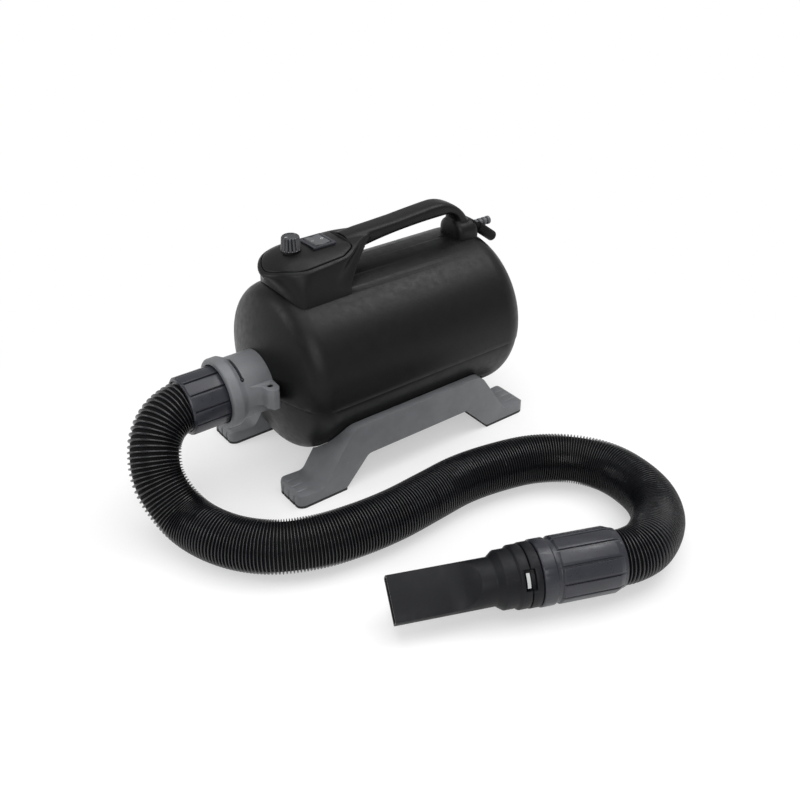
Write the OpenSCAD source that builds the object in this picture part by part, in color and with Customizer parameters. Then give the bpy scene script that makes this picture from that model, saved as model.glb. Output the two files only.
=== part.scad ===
// Forced-air pet dryer: horizontal drum housing with one through-flow blower motor,
// carrying handle with control pod, two skid feet, and a ribbed hose that ends in a
// handgrip with a flat blade nozzle. Millimetres, +Z up, the air outlet points to -Y.

/* [Body] */
// Outside diameter of the drum housing
body_d = 186; // [170:1:205]
// Height of the drum's axis above the floor
body_axis_h = 112.7; // [108:0.1:122]
// Length of the drum's straight, cylindrical part
body_straight_l = 230; // [210:1:260]
// Rounding between the drum and its front cap
front_round_r = 26; // [18:1:34]
// Rounding between the drum and its rear cap
rear_round_r = 32; // [22:1:38]
// Slope of the domed front cap where it meets the rounding, in degrees
front_dome_a = 24.5; // [15:0.5:32]
// Slope of the domed rear cap where it meets the rounding, in degrees
rear_dome_a = 12; // [8:0.5:20]
// Wall of the drum housing
wall = 3; // [2.5:0.1:4]
// Height of the joint between the upper and lower housing
seam_h = 101; // [96:0.5:106]
// Step of the lower housing inside the upper one at the joint
seam_step = 0.6; // [0.3:0.1:1]

/* [Outlet] */
// Distance of the outlet axis below the drum's axis
outlet_drop = 4.7; // [0:0.1:12]
// Outside diameter of the outlet collar
collar_d = 67.2; // [66:0.2:72]
// Reach of the collar in front of the drum
collar_l = 46.4; // [42:0.2:56]
// Outside diameter of the collar's mouth ring
collar_ring_d = 75; // [72:0.5:82]
// Length of the collar's mouth ring
collar_ring_l = 12; // [9:0.5:14]
// Bore of the air outlet
outlet_bore_d = 50; // [40:0.5:52]
// Bore of the vertical hole in the collar's ear
ear_hole_d = 5; // [3:0.1:6]
// Height of the collar's ear
ear_h = 22; // [16:0.5:26]
// Distance of the ear's hole from the outlet axis
ear_x = 40; // [39:0.5:44]

/* [Hose and cuff] */
// Outside diameter of the ribbed hose
hose_d = 52; // [46:0.5:52]
// Height of a rib
rib_h = 2.4; // [1.5:0.1:3]
// Wall under the ribs
hose_wall = 1.6; // [1:0.1:2]
// Number of ribs along the hose
rib_n = 190; // [100:1:200]
// Outside diameter of the cuff's finger pads
cuff_d = 61.6; // [60:0.1:62.4]
// Length of the cuff in front of the collar
cuff_l = 40; // [34:0.5:44]
// Outside diameter of the cuff's plug
cuff_plug_d = 59; // [58:0.1:59.4]
// Number of finger pads on the cuff and on the handgrip
pad_n = 12; // [8:1:16]
// Width of the grooves between the pads
pad_gap = 2.4; // [1.5:0.1:4]

/* [Handgrip and nozzle] */
// X position of the handgrip's hose end
grip_x = 360.5; // [340:0.5:380]
// Y position of the handgrip's hose end
grip_y = 31; // [20:0.5:45]
// Direction of the hose at the handgrip, in degrees from +X
grip_yaw = 68; // [60:0.5:75]
// Outside diameter of the handgrip
grip_d = 62; // [60:0.5:68]
// Length of the handgrip
grip_l = 82; // [74:0.5:90]
// Outside diameter of the lock ring
lock_d = 60; // [58.5:0.5:62]
// Length of the lock ring in front of the handgrip
lock_l = 10; // [8:0.5:14]
// Length of the nozzle's flange in front of the lock ring
flange_l = 10.5; // [9:0.5:14]
// Width of the latch window round the lock ring
window_w = 20; // [17:0.5:24]
// Outside diameter of the nozzle's collar
nozzle_collar_d = 54.4; // [53:0.2:57]
// Outside diameter of the nozzle's neck
nozzle_d = 44.6; // [40:0.2:48]
// Length of the nozzle from the lock ring to its mouth
nozzle_l = 112; // [90:1:150]
// Length of the round neck behind the flat blade
nozzle_neck_l = 31; // [28:1:45]
// Thickness of the flat blade
blade_t = 14; // [10:0.5:20]
// Wall of the nozzle
nozzle_wall = 2; // [1.6:0.1:3]
// Turn of the blade about its axis, in degrees
blade_roll = 145; // [90:1:180]

/* [Handle and pod] */
// Half width of the control pod
pod_w = 42; // [38:0.5:48]
// Y position of the pod's nose
pod_nose_y = -122; // [-128:0.5:-114]
// Height of the pod's top above the drum's axis
pod_h = 129; // [124:0.5:136]
// Crown radius of the pod's top
pod_crown_r = 110; // [90:1:200]
// Wall of the pod
pod_wall = 3; // [2:0.1:4]
// Half width of the handle bar
bar_w = 13; // [11:0.5:16]
// Rise of the handle's highest point above the pod's top
bar_rise = 8; // [4:0.5:14]
// Thickness of the handle bar
bar_t = 16.5; // [14:0.5:19]
// Y position of the rear face of the finger gap
gap_rear_y = 104; // [92:0.5:110]
// Half width of the rear foot block of the handle
foot_w = 20; // [17:0.5:24]
// Height of the rear foot block above the drum's axis
foot_h = 110; // [104:0.5:116]

/* [Controls] */
// Diameter of the speed knob at its base
knob_d = 21.5; // [18:0.5:25]
// Height of the speed knob
knob_h = 14; // [11:0.5:18]
// Number of grip flutes on the knob
knob_flutes = 16; // [10:1:22]
// Y position of the knob's axis
knob_y = -83; // [-88:0.5:-80]
// Diameter of the control shaft
shaft_d = 6; // [5:0.1:6.4]
// Width of the switch frame, across the dryer
switch_w = 29; // [26:0.5:32]
// Length of the switch frame, along the dryer
switch_l = 27; // [25:0.5:30]
// Y position of the switch's centre
switch_y = -52; // [-55:0.5:-50]
// Height of the switch frame above the panel
switch_rim = 1.8; // [1.2:0.1:2.5]

/* [Skid feet] */
// Distance of the skid's outer face from the dryer's middle
skid_x = 94.5; // [92:0.5:104]
// Width of a skid
skid_w = 43.5; // [38:0.5:48]
// Overall length of a skid
skid_l = 315; // [300:1:340]
// Length of a foot on the floor
toe_l = 59.5; // [50:0.5:66]
// Height of a foot's top
toe_h = 15; // [12:0.5:18]
// Height of the beam's underside
beam_low_h = 35; // [28:0.5:38]
// Height of the beam's top
beam_top_h = 73; // [66:0.5:80]
// Thickness of the rubber soles
sole_t = 3; // [2:0.1:4]
// Number of grooves between the toes
toe_grooves = 3; // [2:1:4]
// Distance between the two screws of a skid
skid_screw_gap = 80; // [60:1:110]

/* [Rear parts] */
// Diameter of the air intake in the rear cap
intake_d = 100; // [80:1:110]
// Number of spokes in the intake grille
grille_spokes = 12; // [6:1:16]
// Number of ring gaps in the intake grille
grille_rings = 5; // [3:1:6]
// Diameter of the cable sleeve
sleeve_d = 9.5; // [8:0.1:12]
// Length of the cable sleeve behind the handle's foot
sleeve_l = 28.3; // [22:0.1:34]
// Bore of the cable sleeve
cable_d = 6.4; // [5:0.1:6.6]
// Diameter of the fuse cap
fuse_d = 12; // [10:0.5:13]

/* [Blower] */
// Outside diameter of the fan casing
fan_d = 130; // [110:1:140]
// Length of the fan casing
fan_l = 34; // [28:1:42]
// Number of fan blades
blade_n = 9; // [6:1:13]
// Outside diameter of the stator
stator_d = 88; // [76:1:94]
// Length of the stator and armature cores
core_l = 36; // [28:1:44]
// Diameter of the rotor core
rotor_d = 46; // [38:0.5:52]
// Diameter of the motor shaft
motor_shaft_d = 8; // [6:0.1:10]

/* [Clearances] */
// Radial play of a turning fit
run_play = 0.05; // [0.03:0.01:0.08]
// Gap between neighbouring pieces
fit_gap = 0.3; // [0.2:0.05:0.4]

/* [Hidden] */
$fn = 96;
facet_n = 32;
eps = 0.01;

body_r = body_d / 2;
body_y = 21;
front_y = body_y - body_straight_l / 2;
rear_y = body_y + body_straight_l / 2;
// Dome geometry: distance of the dome's centre from the rounding's centre, and its radius
front_dome_k = (body_r - front_round_r) / sin(front_dome_a);
front_dome_r = front_dome_k + front_round_r;
rear_dome_k = (body_r - rear_round_r) / sin(rear_dome_a);
rear_dome_r = rear_dome_k + rear_round_r;
front_apex_y = front_y + front_dome_k * cos(front_dome_a) - front_dome_r;
rear_apex_y = rear_y - rear_dome_k * cos(rear_dome_a) + rear_dome_r;
outlet_h = body_axis_h - outlet_drop;
collar_front_y = front_apex_y - collar_l;

// ---------------------------------------------------------------- helpers

function unit(v) = v / norm(v);
function turn(v, a) = [v[0] * cos(a) - v[1] * sin(a), v[0] * sin(a) + v[1] * cos(a)];
function smooth(t) = t <= 0 ? 0 : t >= 1 ? 1 : t * t * (3 - 2 * t);

// Points of one rounded corner b between its neighbours a and c
function corner_arc(a, b, c, r, n) =
    let (u = unit(a - b), v = unit(c - b), angle = acos(u * v),
         centre = b + unit(u + v) * r / sin(angle / 2),
         start = b + u * r / tan(angle / 2) - centre,
         sweep = (180 - angle) * sign(cross(v, u)))
    [for (i = [0:n]) centre + turn(start, sweep * i / n)];

// Outline [x, y, corner radius] with its corners rounded
function rounded(p, n = 6) =
    [for (i = [0:len(p) - 1])
        let (a = p[(i + len(p) - 1) % len(p)], b = p[i], c = p[(i + 1) % len(p)])
        each b[2] == 0 ? [[b[0], b[1]]]
            : corner_arc([a[0], a[1]], [b[0], b[1]], [c[0], c[1]], b[2], n)];

// Skin of a row of closed rings, with both ends capped
module skin(rings) {
    n = len(rings[0]);
    m = len(rings);
    side = [for (i = [0:m - 2], j = [0:n - 1])
        let (k = (j + 1) % n) each [[i * n + j, i * n + k, (i + 1) * n + j],
                                    [i * n + k, (i + 1) * n + k, (i + 1) * n + j]]];
    low = [for (j = [1:n - 2]) [0, j + 1, j]];
    high = [for (j = [1:n - 2]) [(m - 1) * n, (m - 1) * n + j, (m - 1) * n + j + 1]];
    polyhedron([for (r = rings) each r], concat(side, low, high), convexity = 6);
}

// Places a shape made along +Z so that it points forward from a point on the drum's axis
module forward(y, h = body_axis_h) {
    translate([0, y, h]) rotate([90, 0, 0]) children();
}

// Places a shape made along +Z so that it points to the rear
module rearward(y, h = body_axis_h) {
    translate([0, y, h]) rotate([-90, 0, 0]) children();
}

module both_sides() {
    children();
    mirror([1, 0, 0]) children();
}

module tube(r_out, r_in, h) {
    difference() {
        cylinder(r = r_out, h = h);
        translate([0, 0, -1]) cylinder(r = r_in, h = h + 2);
    }
}

// ---------------------------------------------------------------- drum housing

// Half section of the drum, set in from its outer face; x is radius, y points forward
module drum_section(inset) {
    front_c = front_dome_k * cos(front_dome_a);
    rear_c = rear_dome_k * cos(rear_dome_a);
    front_t = (front_dome_r - inset) * sin(front_dome_a);
    rear_t = (rear_dome_r - inset) * sin(rear_dome_a);
    translate([0, -rear_y]) square([body_r - inset, body_straight_l]);
    intersection() {
        union() {
            intersection() {
                translate([0, -front_y - front_c]) circle(r = front_dome_r - inset, $fn = 180);
                translate([0, -front_y - eps]) square([front_t, front_dome_r]);
            }
            translate([body_r - front_round_r, -front_y]) circle(r = front_round_r - inset);
            intersection() {
                translate([0, -rear_y + rear_c]) circle(r = rear_dome_r - inset, $fn = 180);
                translate([0, -rear_y - rear_dome_r]) square([rear_t, rear_dome_r + eps]);
            }
            translate([body_r - rear_round_r, -rear_y]) circle(r = rear_round_r - inset);
        }
        translate([0, -2 * body_straight_l]) square([body_r, 4 * body_straight_l]);
    }
}

module drum_solid(inset) {
    forward(0) rotate_extrude($fn = 180) drum_section(inset);
}

module drum_shell(outer_inset) {
    forward(0) rotate_extrude($fn = 180) difference() {
        drum_section(outer_inset);
        drum_section(wall);
    }
}

housing_screw_x = body_r * 0.74;
housing_screw_y = [front_y + 16, rear_y - 22];
screw_r = 1.95;
pilot_r = screw_r + run_play;
tower_r = 5;
outlet_hole_r = outlet_bore_d / 2 + 4.8;

// Four screw towers between the two housings
module at_towers() {
    for (x = [-1, 1] * housing_screw_x, y = housing_screw_y) translate([x, y, 0]) children();
}

pod_window = [2 * 19, 76];
board_size = [60, 44, 1.6];
board_h = body_axis_h + body_r - 26;
board_y = 40;

module upper_housing() color([0.08, 0.08, 0.085]) {
    difference() {
        union() {
            intersection() {
                drum_shell(0);
                translate([-200, -250, seam_h]) cube([400, 500, 200]);
            }
            intersection() {
                drum_solid(wall - eps);
                union() {
                    at_towers() translate([0, 0, seam_h]) cylinder(r = tower_r, h = 200);
                    for (p = handle_screw_at) translate([p[0], p[1], handle_seat_h(p)])
                        cylinder(r = tower_r, h = 40);
                    for (x = [-1, 1] * (board_size[0] / 2 - 5), y = [-1, 1] * (board_size[1] / 2 - 5))
                        translate([x, board_y + y, board_h + board_size[2]])
                            cylinder(r = 3, h = 200);
                }
            }
        }
        at_towers() translate([0, 0, seam_h - 1]) cylinder(r = pilot_r, h = 13);
        for (p = handle_screw_at) translate([p[0], p[1], seam_h + 40]) cylinder(r = screw_r + 0.4, h = 200);
        forward(front_apex_y + 60, outlet_h) cylinder(r = outlet_hole_r, h = 120);
        rearward(rear_apex_y - 60) cylinder(d = intake_d, h = 120);
        at_grille_screws(-20) cylinder(r = 1.55, h = 40);
        translate([0, cable_hole_y, body_axis_h + 20]) cylinder(d = cable_d + 1, h = 200);
        translate([-pod_window[0] / 2, knob_y - 16, body_axis_h + body_r - 20])
            cube([pod_window[0], pod_window[1], 40]);
    }
}

skid_mid_y = 10;
skid_screw_x = 72;
skid_screw_y = [skid_mid_y - skid_screw_gap / 2, skid_mid_y + skid_screw_gap / 2];
boss_top_h = body_axis_h - sqrt(pow(body_r - wall, 2) - pow(skid_screw_x, 2)) + 14;
head_h = 3;
head_r = 4;

module at_skid_screws() {
    for (x = [-1, 1] * skid_screw_x, y = skid_screw_y) translate([x, y, 0]) children();
}

// Height of the drum's underside at a distance x from its middle plane
function belly_h(x, inset = 0) = body_axis_h - sqrt(pow(body_r - inset, 2) - x * x);

head_floor_h = belly_h(housing_screw_x, wall) + 6;

module lower_housing() color([0.08, 0.08, 0.085]) {
    difference() {
        union() {
            intersection() {
                drum_shell(seam_step);
                translate([-200, -250, seam_h - 200]) cube([400, 500, 200]);
            }
            intersection() {
                drum_solid(wall - eps);
                union() {
                    at_towers() translate([0, 0, seam_h - 100]) cylinder(r = tower_r + 1, h = 100);
                    at_skid_screws() cylinder(r = tower_r, h = boss_top_h);
                }
            }
        }
        at_towers() cylinder(r = pilot_r, h = seam_h + 1);
        at_towers() cylinder(r = head_r + 1, h = head_floor_h);
        at_skid_screws() cylinder(r = pilot_r, h = boss_top_h - 3);
        forward(front_apex_y + 60, outlet_h) cylinder(r = outlet_hole_r, h = 120);
        rearward(rear_apex_y - 60) cylinder(d = intake_d, h = 120);
        at_grille_screws(-20) cylinder(r = 1.55, h = 40);
    }
}

// One screw standing upright, its head down
module screw(l, head = head_r) {
    difference() {
        union() {
            cylinder(r = head, h = head_h - 1);
            translate([0, 0, head_h - 1 - eps]) cylinder(r1 = head, r2 = screw_r + 0.6, h = 1);
            cylinder(r = screw_r, h = l);
        }
        for (a = [0, 90]) rotate([0, 0, a]) translate([-head * 0.6, -0.5, -1]) cube([head * 1.2, 1, 2.2]);
    }
}

module housing_screws() color([0.55, 0.55, 0.58]) {
    at_towers() translate([0, 0, head_floor_h - head_h]) screw(seam_h + 11 - head_floor_h + head_h);
}

// Screws that hold the handle from inside the upper housing: x, y
handle_screw_at = [[38, pod_nose_y + 34], [38, pod_nose_y + 66], [-38, pod_nose_y + 34],
    [-38, pod_nose_y + 66], [0, rear_y - 8]];
function crown_h(x, inset) = body_axis_h + sqrt(pow(body_r - inset, 2) - x * x);
function handle_seat_h(p) = crown_h(abs(p[0]) + tower_r, wall) - 1;

module handle_screws() color([0.55, 0.55, 0.58]) {
    for (p = handle_screw_at) translate([p[0], p[1], handle_seat_h(p) - head_h])
        screw(crown_h(p[0], 0) + 9 - handle_seat_h(p) + head_h);
}

// ---------------------------------------------------------------- handle and pod

pod_top_h = body_axis_h + pod_h;
pod_flare = [pod_nose_y + 78, pod_nose_y + 118];
nose_l = 34;
bend_y = gap_rear_y - 12;

// Half width of the pod along the dryer
function pod_half(y) =
    let (t = (pod_nose_y + nose_l - y) / nose_l)
    t > 0 ? pod_w * pow(max(0, 1 - pow(t, 2.5)), 1 / 2.5)
        : pod_w + (bar_w - pod_w) * smooth((y - pod_flare[0]) / (pod_flare[1] - pod_flare[0]));

// Half ring of the pod at y, from the drum up its side and over the crown to the middle
function pod_half_ring(y) =
    let (w = max(pod_half(y), 0.5), low = body_axis_h + body_r * 0.8,
         r = min(3.5, w * 0.45), edge = pod_top_h - w * w / (2 * pod_crown_r))
    concat([[w, low]],
        [for (a = [0:22.5:90]) [w - r + r * cos(a), edge - r + r * sin(a) + r * 0.06]],
        [for (k = [0.75, 0.5, 0.25]) [(w - r) * k,
            pod_top_h - pow((w - r) * k, 2) / (2 * pod_crown_r)]]);

function pod_ring(y) =
    let (h = pod_half_ring(y))
    concat([for (p = h) [p[0], y, p[1]]], [[0, y, pod_top_h]],
        [for (i = [len(h) - 1:-1:0]) [-h[i][0], y, h[i][1]]]);

function pod_stations() = concat(
    [for (t = [0.995, 0.97, 0.93, 0.87, 0.79, 0.69, 0.57, 0.43, 0.26, 0.1]) pod_nose_y + nose_l * (1 - t)],
    [pod_nose_y + nose_l + 10, pod_flare[0] - 6],
    [for (k = [0:9]) pod_flare[0] + (pod_flare[1] - pod_flare[0]) * k / 9]);

// Inner and outer edge of the handle bar at step t, in the Y-Z plane: t runs from 0 at the
// pod to 1 at the bend and on to 2 at the drum
bar_top_h = pod_top_h + bar_rise;
gap_corner_r = 12;
bend_out = [50, 44];
bar_start_y = pod_flare[0] + 6;
function bar_inner(t) = t <= 1
    ? [bar_start_y + (bend_y - bar_start_y) * t,
       bar_top_h - bar_t - 17 * pow(1 - t, 2.6)]
    : [bend_y + gap_corner_r * sin(90 * (t - 1)),
       bar_top_h - bar_t - gap_corner_r + gap_corner_r * cos(90 * (t - 1))];
function bar_outer(t) = t <= 1
    ? [bar_start_y + (bend_y + 4 - bar_start_y) * t,
       pod_top_h + 1 + (bar_rise - 1) * smooth(t * 0.98 + 0.02) - 2 * (1 - t)]
    : [bend_y + 4 + bend_out[0] * sin(90 * (t - 1)),
       bar_top_h - bend_out[1] + bend_out[1] * cos(90 * (t - 1))];
bar_ring_n = 20;
function bar_ring(i, o) =
    let (mid = (i + o) / 2, up = (o - i) / 2)
    [for (k = [0:bar_ring_n - 1])
        let (a = 360 * k / bar_ring_n, c = cos(a), s = sin(a),
             x = sign(c) * pow(abs(c), 0.62), v = sign(s) * pow(abs(s), 0.62))
        [bar_w * x, mid[0] + up[0] * v, mid[1] + up[1] * v]];
function bar_rings() = concat(
    [for (t = [0:0.1:1.0]) bar_ring(bar_inner(t), bar_outer(t))],
    [for (t = [1.14:0.14:2.0]) bar_ring(bar_inner(t), bar_outer(t))],
    [bar_ring(bar_inner(2) - [0, 10], bar_outer(2) - [0, 4]),
     bar_ring([bar_inner(2)[0], body_axis_h + body_r * 0.85],
              [bar_outer(2)[0], body_axis_h + body_r * 0.85])]);

foot_y = [gap_rear_y + 17, gap_rear_y + 50];
foot_top_h = body_axis_h + foot_h;
function foot_half(y) =
    let (a = (foot_y[0] + 7 - y) / 7, b = (y - foot_y[1] + 10) / 10)
    a > 0 ? bar_w - 2 + (foot_w - bar_w + 2) * sqrt(1 - a * a)
        : b > 0 ? foot_w * sqrt(max(0.02, 1 - pow(b, 2.4))) : foot_w;
function foot_top(y) =
    let (b = (y - foot_y[1] + 12) / 12) b > 0 ? foot_top_h - 12 * (1 - sqrt(max(0, 1 - b * b)))
        : foot_top_h;
function foot_ring(y) =
    let (w = foot_half(y), top = foot_top(y), r = min(11, w * 0.8), low = body_axis_h + body_r * 0.8)
    concat([[w, y, low]],
        [for (a = [0:15:90]) [w - r + r * cos(a), y, top - r + r * sin(a) - 1.5 * cos(a)]],
        [for (a = [90:15:180]) [-(w - r) + r * cos(a), y, top - r + r * sin(a) + 1.5 * cos(a)]],
        [[-w, y, low]]);

panel_inset = 4.5;
panel_end_y = pod_nose_y + 105.5;
panel_t = 3;
panel_seat = 3.2;
groove_w = 0.8;

// Right half of the control panel's outline, set in by d
function panel_side(d) = [
    [pod_w - panel_inset - d, pod_nose_y + panel_inset + d + 3, 24 - d],
    [pod_w - panel_inset - d, pod_flare[0] + 0.5 - 0.41 * d, 18 - d],
    [10 - 0.41 * d, panel_end_y - d, 13 - d]];
function panel_outline(d) =
    let (p = panel_side(d)) rounded(concat(p, [for (i = [2:-1:0]) [-p[i][0], p[i][1], p[i][2]]]), 8);

// Space above a depth d below the pod's crown
module above_crown(d) {
    difference() {
        translate([-pod_w - 20, pod_nose_y - 20, pod_top_h - 30]) cube([2 * pod_w + 40, 200, 60]);
        translate([0, pod_nose_y - 30, pod_top_h - pod_crown_r]) rotate([-90, 0, 0])
            cylinder(r = pod_crown_r - d, h = 240, $fn = 240);
    }
}

// Cavity under the panel, open towards the drum
module pod_cavity() {
    intersection() {
        translate([0, 0, body_axis_h + body_r * 0.8]) linear_extrude(60) polygon(panel_outline(pod_wall));
        translate([-100, pod_nose_y + 20, 0]) cube([200, 200, 400]);
    }
}

cable_hole_y = foot_y[1] - 7;
fuse_tilt = 36.9;
fuse_pos = [12, foot_y[1] - 6, foot_top_h - 7];
sleeve_pos = [0, foot_y[1] - 1, foot_top_h - 13.7];

module top_handle() color([0.085, 0.085, 0.09]) {
    difference() {
        union() {
            difference() {
                union() {
                    skin([for (y = pod_stations()) pod_ring(y)]);
                    skin([for (y = concat([for (k = [0:4]) foot_y[0] + 7 * k / 4],
                        [foot_y[0] + 14], [for (a = [0:15:75]) foot_y[1] - 10 + 10 * sin(a)],
                        [foot_y[1]])) foot_ring(y)]);
                }
                nose_undercut();
            }
            skin(bar_rings());
        }
        drum_solid(-0.05);
        for (p = handle_screw_at) translate([p[0], p[1], seam_h + 40])
            cylinder(r = pilot_r, h = crown_h(p[0], 0) + 10 - seam_h - 40);
        pod_cavity();
        intersection() {
            translate([0, 0, pod_top_h - 40]) linear_extrude(80) polygon(panel_outline(-groove_w / 2));
            above_crown(panel_seat);
        }
        translate(sleeve_pos) rotate([-90, 0, 0]) translate([0, 0, -8]) cylinder(d = sleeve_d - 1.4, h = 20);
        translate([0, cable_hole_y, seam_h]) cylinder(d = cable_d + 1, h = sleeve_pos[2] - seam_h);
        translate(fuse_pos) rotate([-90 - fuse_tilt, 0, 0]) {
            translate([0, 0, -6]) cylinder(d = fuse_d - 4, h = 30);
            translate([0, 0, 6.8]) cylinder(d = fuse_d + 0.8, h = 30);
        }
    }
}

// Slope that takes the pod's nose back to the drum
module nose_undercut() {
    translate([-pod_w - 10, 0, 0]) rotate([90, 0, 90]) linear_extrude(2 * pod_w + 20)
        polygon([[pod_nose_y - 20, pod_top_h - 60], [pod_nose_y + 25, pod_top_h - 60],
            [pod_nose_y + 21, pod_top_h - 36], [pod_nose_y + 8, pod_top_h - 16],
            [pod_nose_y, pod_top_h - 9], [pod_nose_y - 20, pod_top_h - 7]]);
}

pot_depth = 9;
pot_r = 8.5;
bush_r = 4;
pot_top_h = pod_top_h - pod_crown_r + sqrt(pow(pod_crown_r - panel_seat, 2) - pot_r * pot_r) - 0.02;
knob_base_h = pod_top_h + 0.6;
switch_body = [switch_w - 4, switch_l - 4, 19];

module control_panel() color([0.1, 0.1, 0.105]) {
    difference() {
        intersection() {
            translate([0, 0, pod_top_h - 30]) linear_extrude(60) polygon(panel_outline(groove_w / 2));
            above_crown(panel_seat - 0.02);
            translate([0, pod_nose_y - 30, pod_top_h - pod_crown_r]) rotate([-90, 0, 0])
                cylinder(r = pod_crown_r, h = 240, $fn = 240);
        }
        translate([0, knob_y, 0]) cylinder(r = bush_r + run_play, h = 400);
        translate([-switch_body[0] / 2 - 0.1, switch_y - switch_body[1] / 2 - 0.1, 0])
            cube([switch_body[0] + 0.2, switch_body[1] + 0.2, 400]);
    }
}

module potentiometer() color([0.35, 0.36, 0.38]) {
    translate([0, knob_y, pot_top_h]) difference() {
        union() {
            translate([0, 0, -pot_depth]) cylinder(r = pot_r, h = pot_depth);
            cylinder(r = bush_r, h = panel_seat);
            for (x = [-4, 0, 4]) translate([x - 1, -pot_r - 6, -pot_depth + 2]) cube([2, 8, 1]);
        }
        translate([0, 0, -pot_depth + 2]) cylinder(r = shaft_d / 2 + run_play, h = 40);
    }
}

module control_shaft() color([0.7, 0.7, 0.72]) {
    translate([0, knob_y, pot_top_h - pot_depth + 2.3])
        cylinder(d = shaft_d, h = knob_base_h + knob_h - 4 - pot_top_h + pot_depth - 2.3);
}

module speed_knob() color([0.27, 0.28, 0.3]) {
    top_r = knob_d / 2 - 0.7;
    translate([0, knob_y, knob_base_h]) difference() {
        union() {
            cylinder(r = knob_d / 2, h = 1.4);
            translate([0, 0, 1]) linear_extrude(knob_h - 1) difference() {
                circle(r = top_r);
                for (k = [0:knob_flutes - 1]) rotate(360 * (k + 0.5) / knob_flutes)
                    translate([top_r + 0.85, 0]) circle(r = 1.3, $fn = 32);
            }
        }
        translate([0, 0, knob_h - 0.7]) cylinder(r = top_r - 2.6, h = 2);
        translate([0, 0, -1]) cylinder(d = shaft_d + 0.02, h = knob_h - 3);
    }
}

rocker_pivot_h = pod_top_h - 2.5;
rocker_w = switch_w - 7;
rocker_r = switch_l / 2 - 3.6;
rocker_pin_r = 1.5;

module switch_frame() color([0.2, 0.2, 0.21]) {
    window = [rocker_w + 1, 2 * rocker_r + 0.8];
    translate([0, switch_y, 0]) difference() {
        union() {
            difference() {
                translate([0, 0, pod_top_h - 2]) linear_extrude(switch_rim + 2)
                    polygon(rounded([[switch_w / 2, switch_l / 2, 1.5], [-switch_w / 2, switch_l / 2, 1.5],
                        [-switch_w / 2, -switch_l / 2, 1.5], [switch_w / 2, -switch_l / 2, 1.5]], 4));
                translate([0, -50, pod_top_h - pod_crown_r]) rotate([-90, 0, 0])
                    cylinder(r = pod_crown_r + 0.03, h = 100, $fn = 240);
            }
            translate([-switch_body[0] / 2, -switch_body[1] / 2, pod_top_h - switch_body[2]])
                cube([switch_body[0], switch_body[1], switch_body[2] + 0.1]);
            for (x = [-7, 0, 7], y = [-6, 6])
                translate([x - 0.4, y - 2.4, pod_top_h - switch_body[2] - 7]) cube([0.8, 4.8, 8]);
        }
        translate([-window[0] / 2, -window[1] / 2, rocker_pivot_h - rocker_r - 1])
            cube([window[0], window[1], 60]);
        translate([-switch_w, 0, rocker_pivot_h]) rotate([0, 90, 0])
            cylinder(r = rocker_pin_r + run_play, h = 2 * switch_w);
    }
}

module switch_rocker() color([0.16, 0.16, 0.17]) {
    translate([0, switch_y, rocker_pivot_h]) {
        translate([-rocker_w / 2, 0, 0]) rotate([90, 0, 90]) linear_extrude(rocker_w)
            intersection() {
                circle(r = rocker_r);
                polygon([[-rocker_r, 5.6], [0, 4], [rocker_r, 5.6], [rocker_r, -1],
                    [3.5, -rocker_r + 3], [-3.5, -rocker_r + 3], [-rocker_r, -1]]);
            }
        translate([-rocker_w / 2 - 1.2, 0, 0]) rotate([0, 90, 0])
            cylinder(r = rocker_pin_r, h = rocker_w + 2.4);
    }
}

// ---------------------------------------------------------------- rear of the handle

module cable_sleeve() color([0.4, 0.4, 0.42]) {
    rings_n = 5;
    translate(sleeve_pos) rotate([-90, 0, 0]) difference() {
        union() {
            translate([0, 0, -6]) cylinder(d = sleeve_d - 1.6, h = 12);
            translate([0, 0, 1.3]) cylinder(d = sleeve_d + 2, h = 2.5);
            cylinder(d = sleeve_d - 1.6, h = sleeve_l - 1);
            for (k = [0:rings_n - 1])
                translate([0, 0, 6 + k * (sleeve_l - 9.5) / (rings_n - 1)])
                    rotate_extrude() polygon(rounded([[0, 0, 0], [sleeve_d / 2, 0, 0.8],
                        [sleeve_d / 2, 3.2, 0.8], [0, 3.2, 0]], 3));
        }
        translate([0, 0, -10]) cylinder(d = cable_d, h = sleeve_l + 20);
    }
}

module fuse_cap() color([0.05, 0.05, 0.05]) {
    translate(fuse_pos) rotate([-90 - fuse_tilt, 0, 0]) difference() {
        union() {
            translate([0, 0, -5]) cylinder(d = fuse_d - 4.2, h = 13);
            translate([0, 0, 7]) rotate_extrude() polygon(rounded([[0, 0, 0], [fuse_d / 2, 0, 0.6],
                [fuse_d / 2, 30, 2], [0, 30, 0]], 4));
        }
        translate([-0.8, -fuse_d, 35.8]) cube([1.6, 2 * fuse_d, 4]);
    }
}

// ---------------------------------------------------------------- outlet and cuff

socket_depth = 27;
slit_z = collar_l - 17.5;
slit_a = [42.5, 94];
slit_w = 2.4;
pin_r = 0.9;
collar_bore_r = cuff_plug_d / 2 + fit_gap;
mouth_bore_r = cuff_d / 2 + fit_gap + 0.6;

// Arc-shaped sector of a tube, for slits that run round a collar
module sector_slit(r_in, r_out, a, w) {
    rotate([0, 0, a[0]]) rotate_extrude(angle = a[1] - a[0])
        translate([r_in, -w / 2]) square([r_out - r_in, w]);
}

ear_y = front_apex_y - 6;
ear_mid_h = outlet_h + 4;
module collar_ear() {
    translate([0, ear_y, ear_mid_h - ear_h / 2]) linear_extrude(ear_h) polygon(rounded([
        [10, 8.5, 0], [ear_x + 6, 7, 5], [ear_x + 12, 3.5, 3], [ear_x + 12, -3.5, 3],
        [ear_x + 6, -7, 5], [ear_x - 4, -8, 6], [31, -18, 0], [10, -18, 0]], 5));
}

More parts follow.
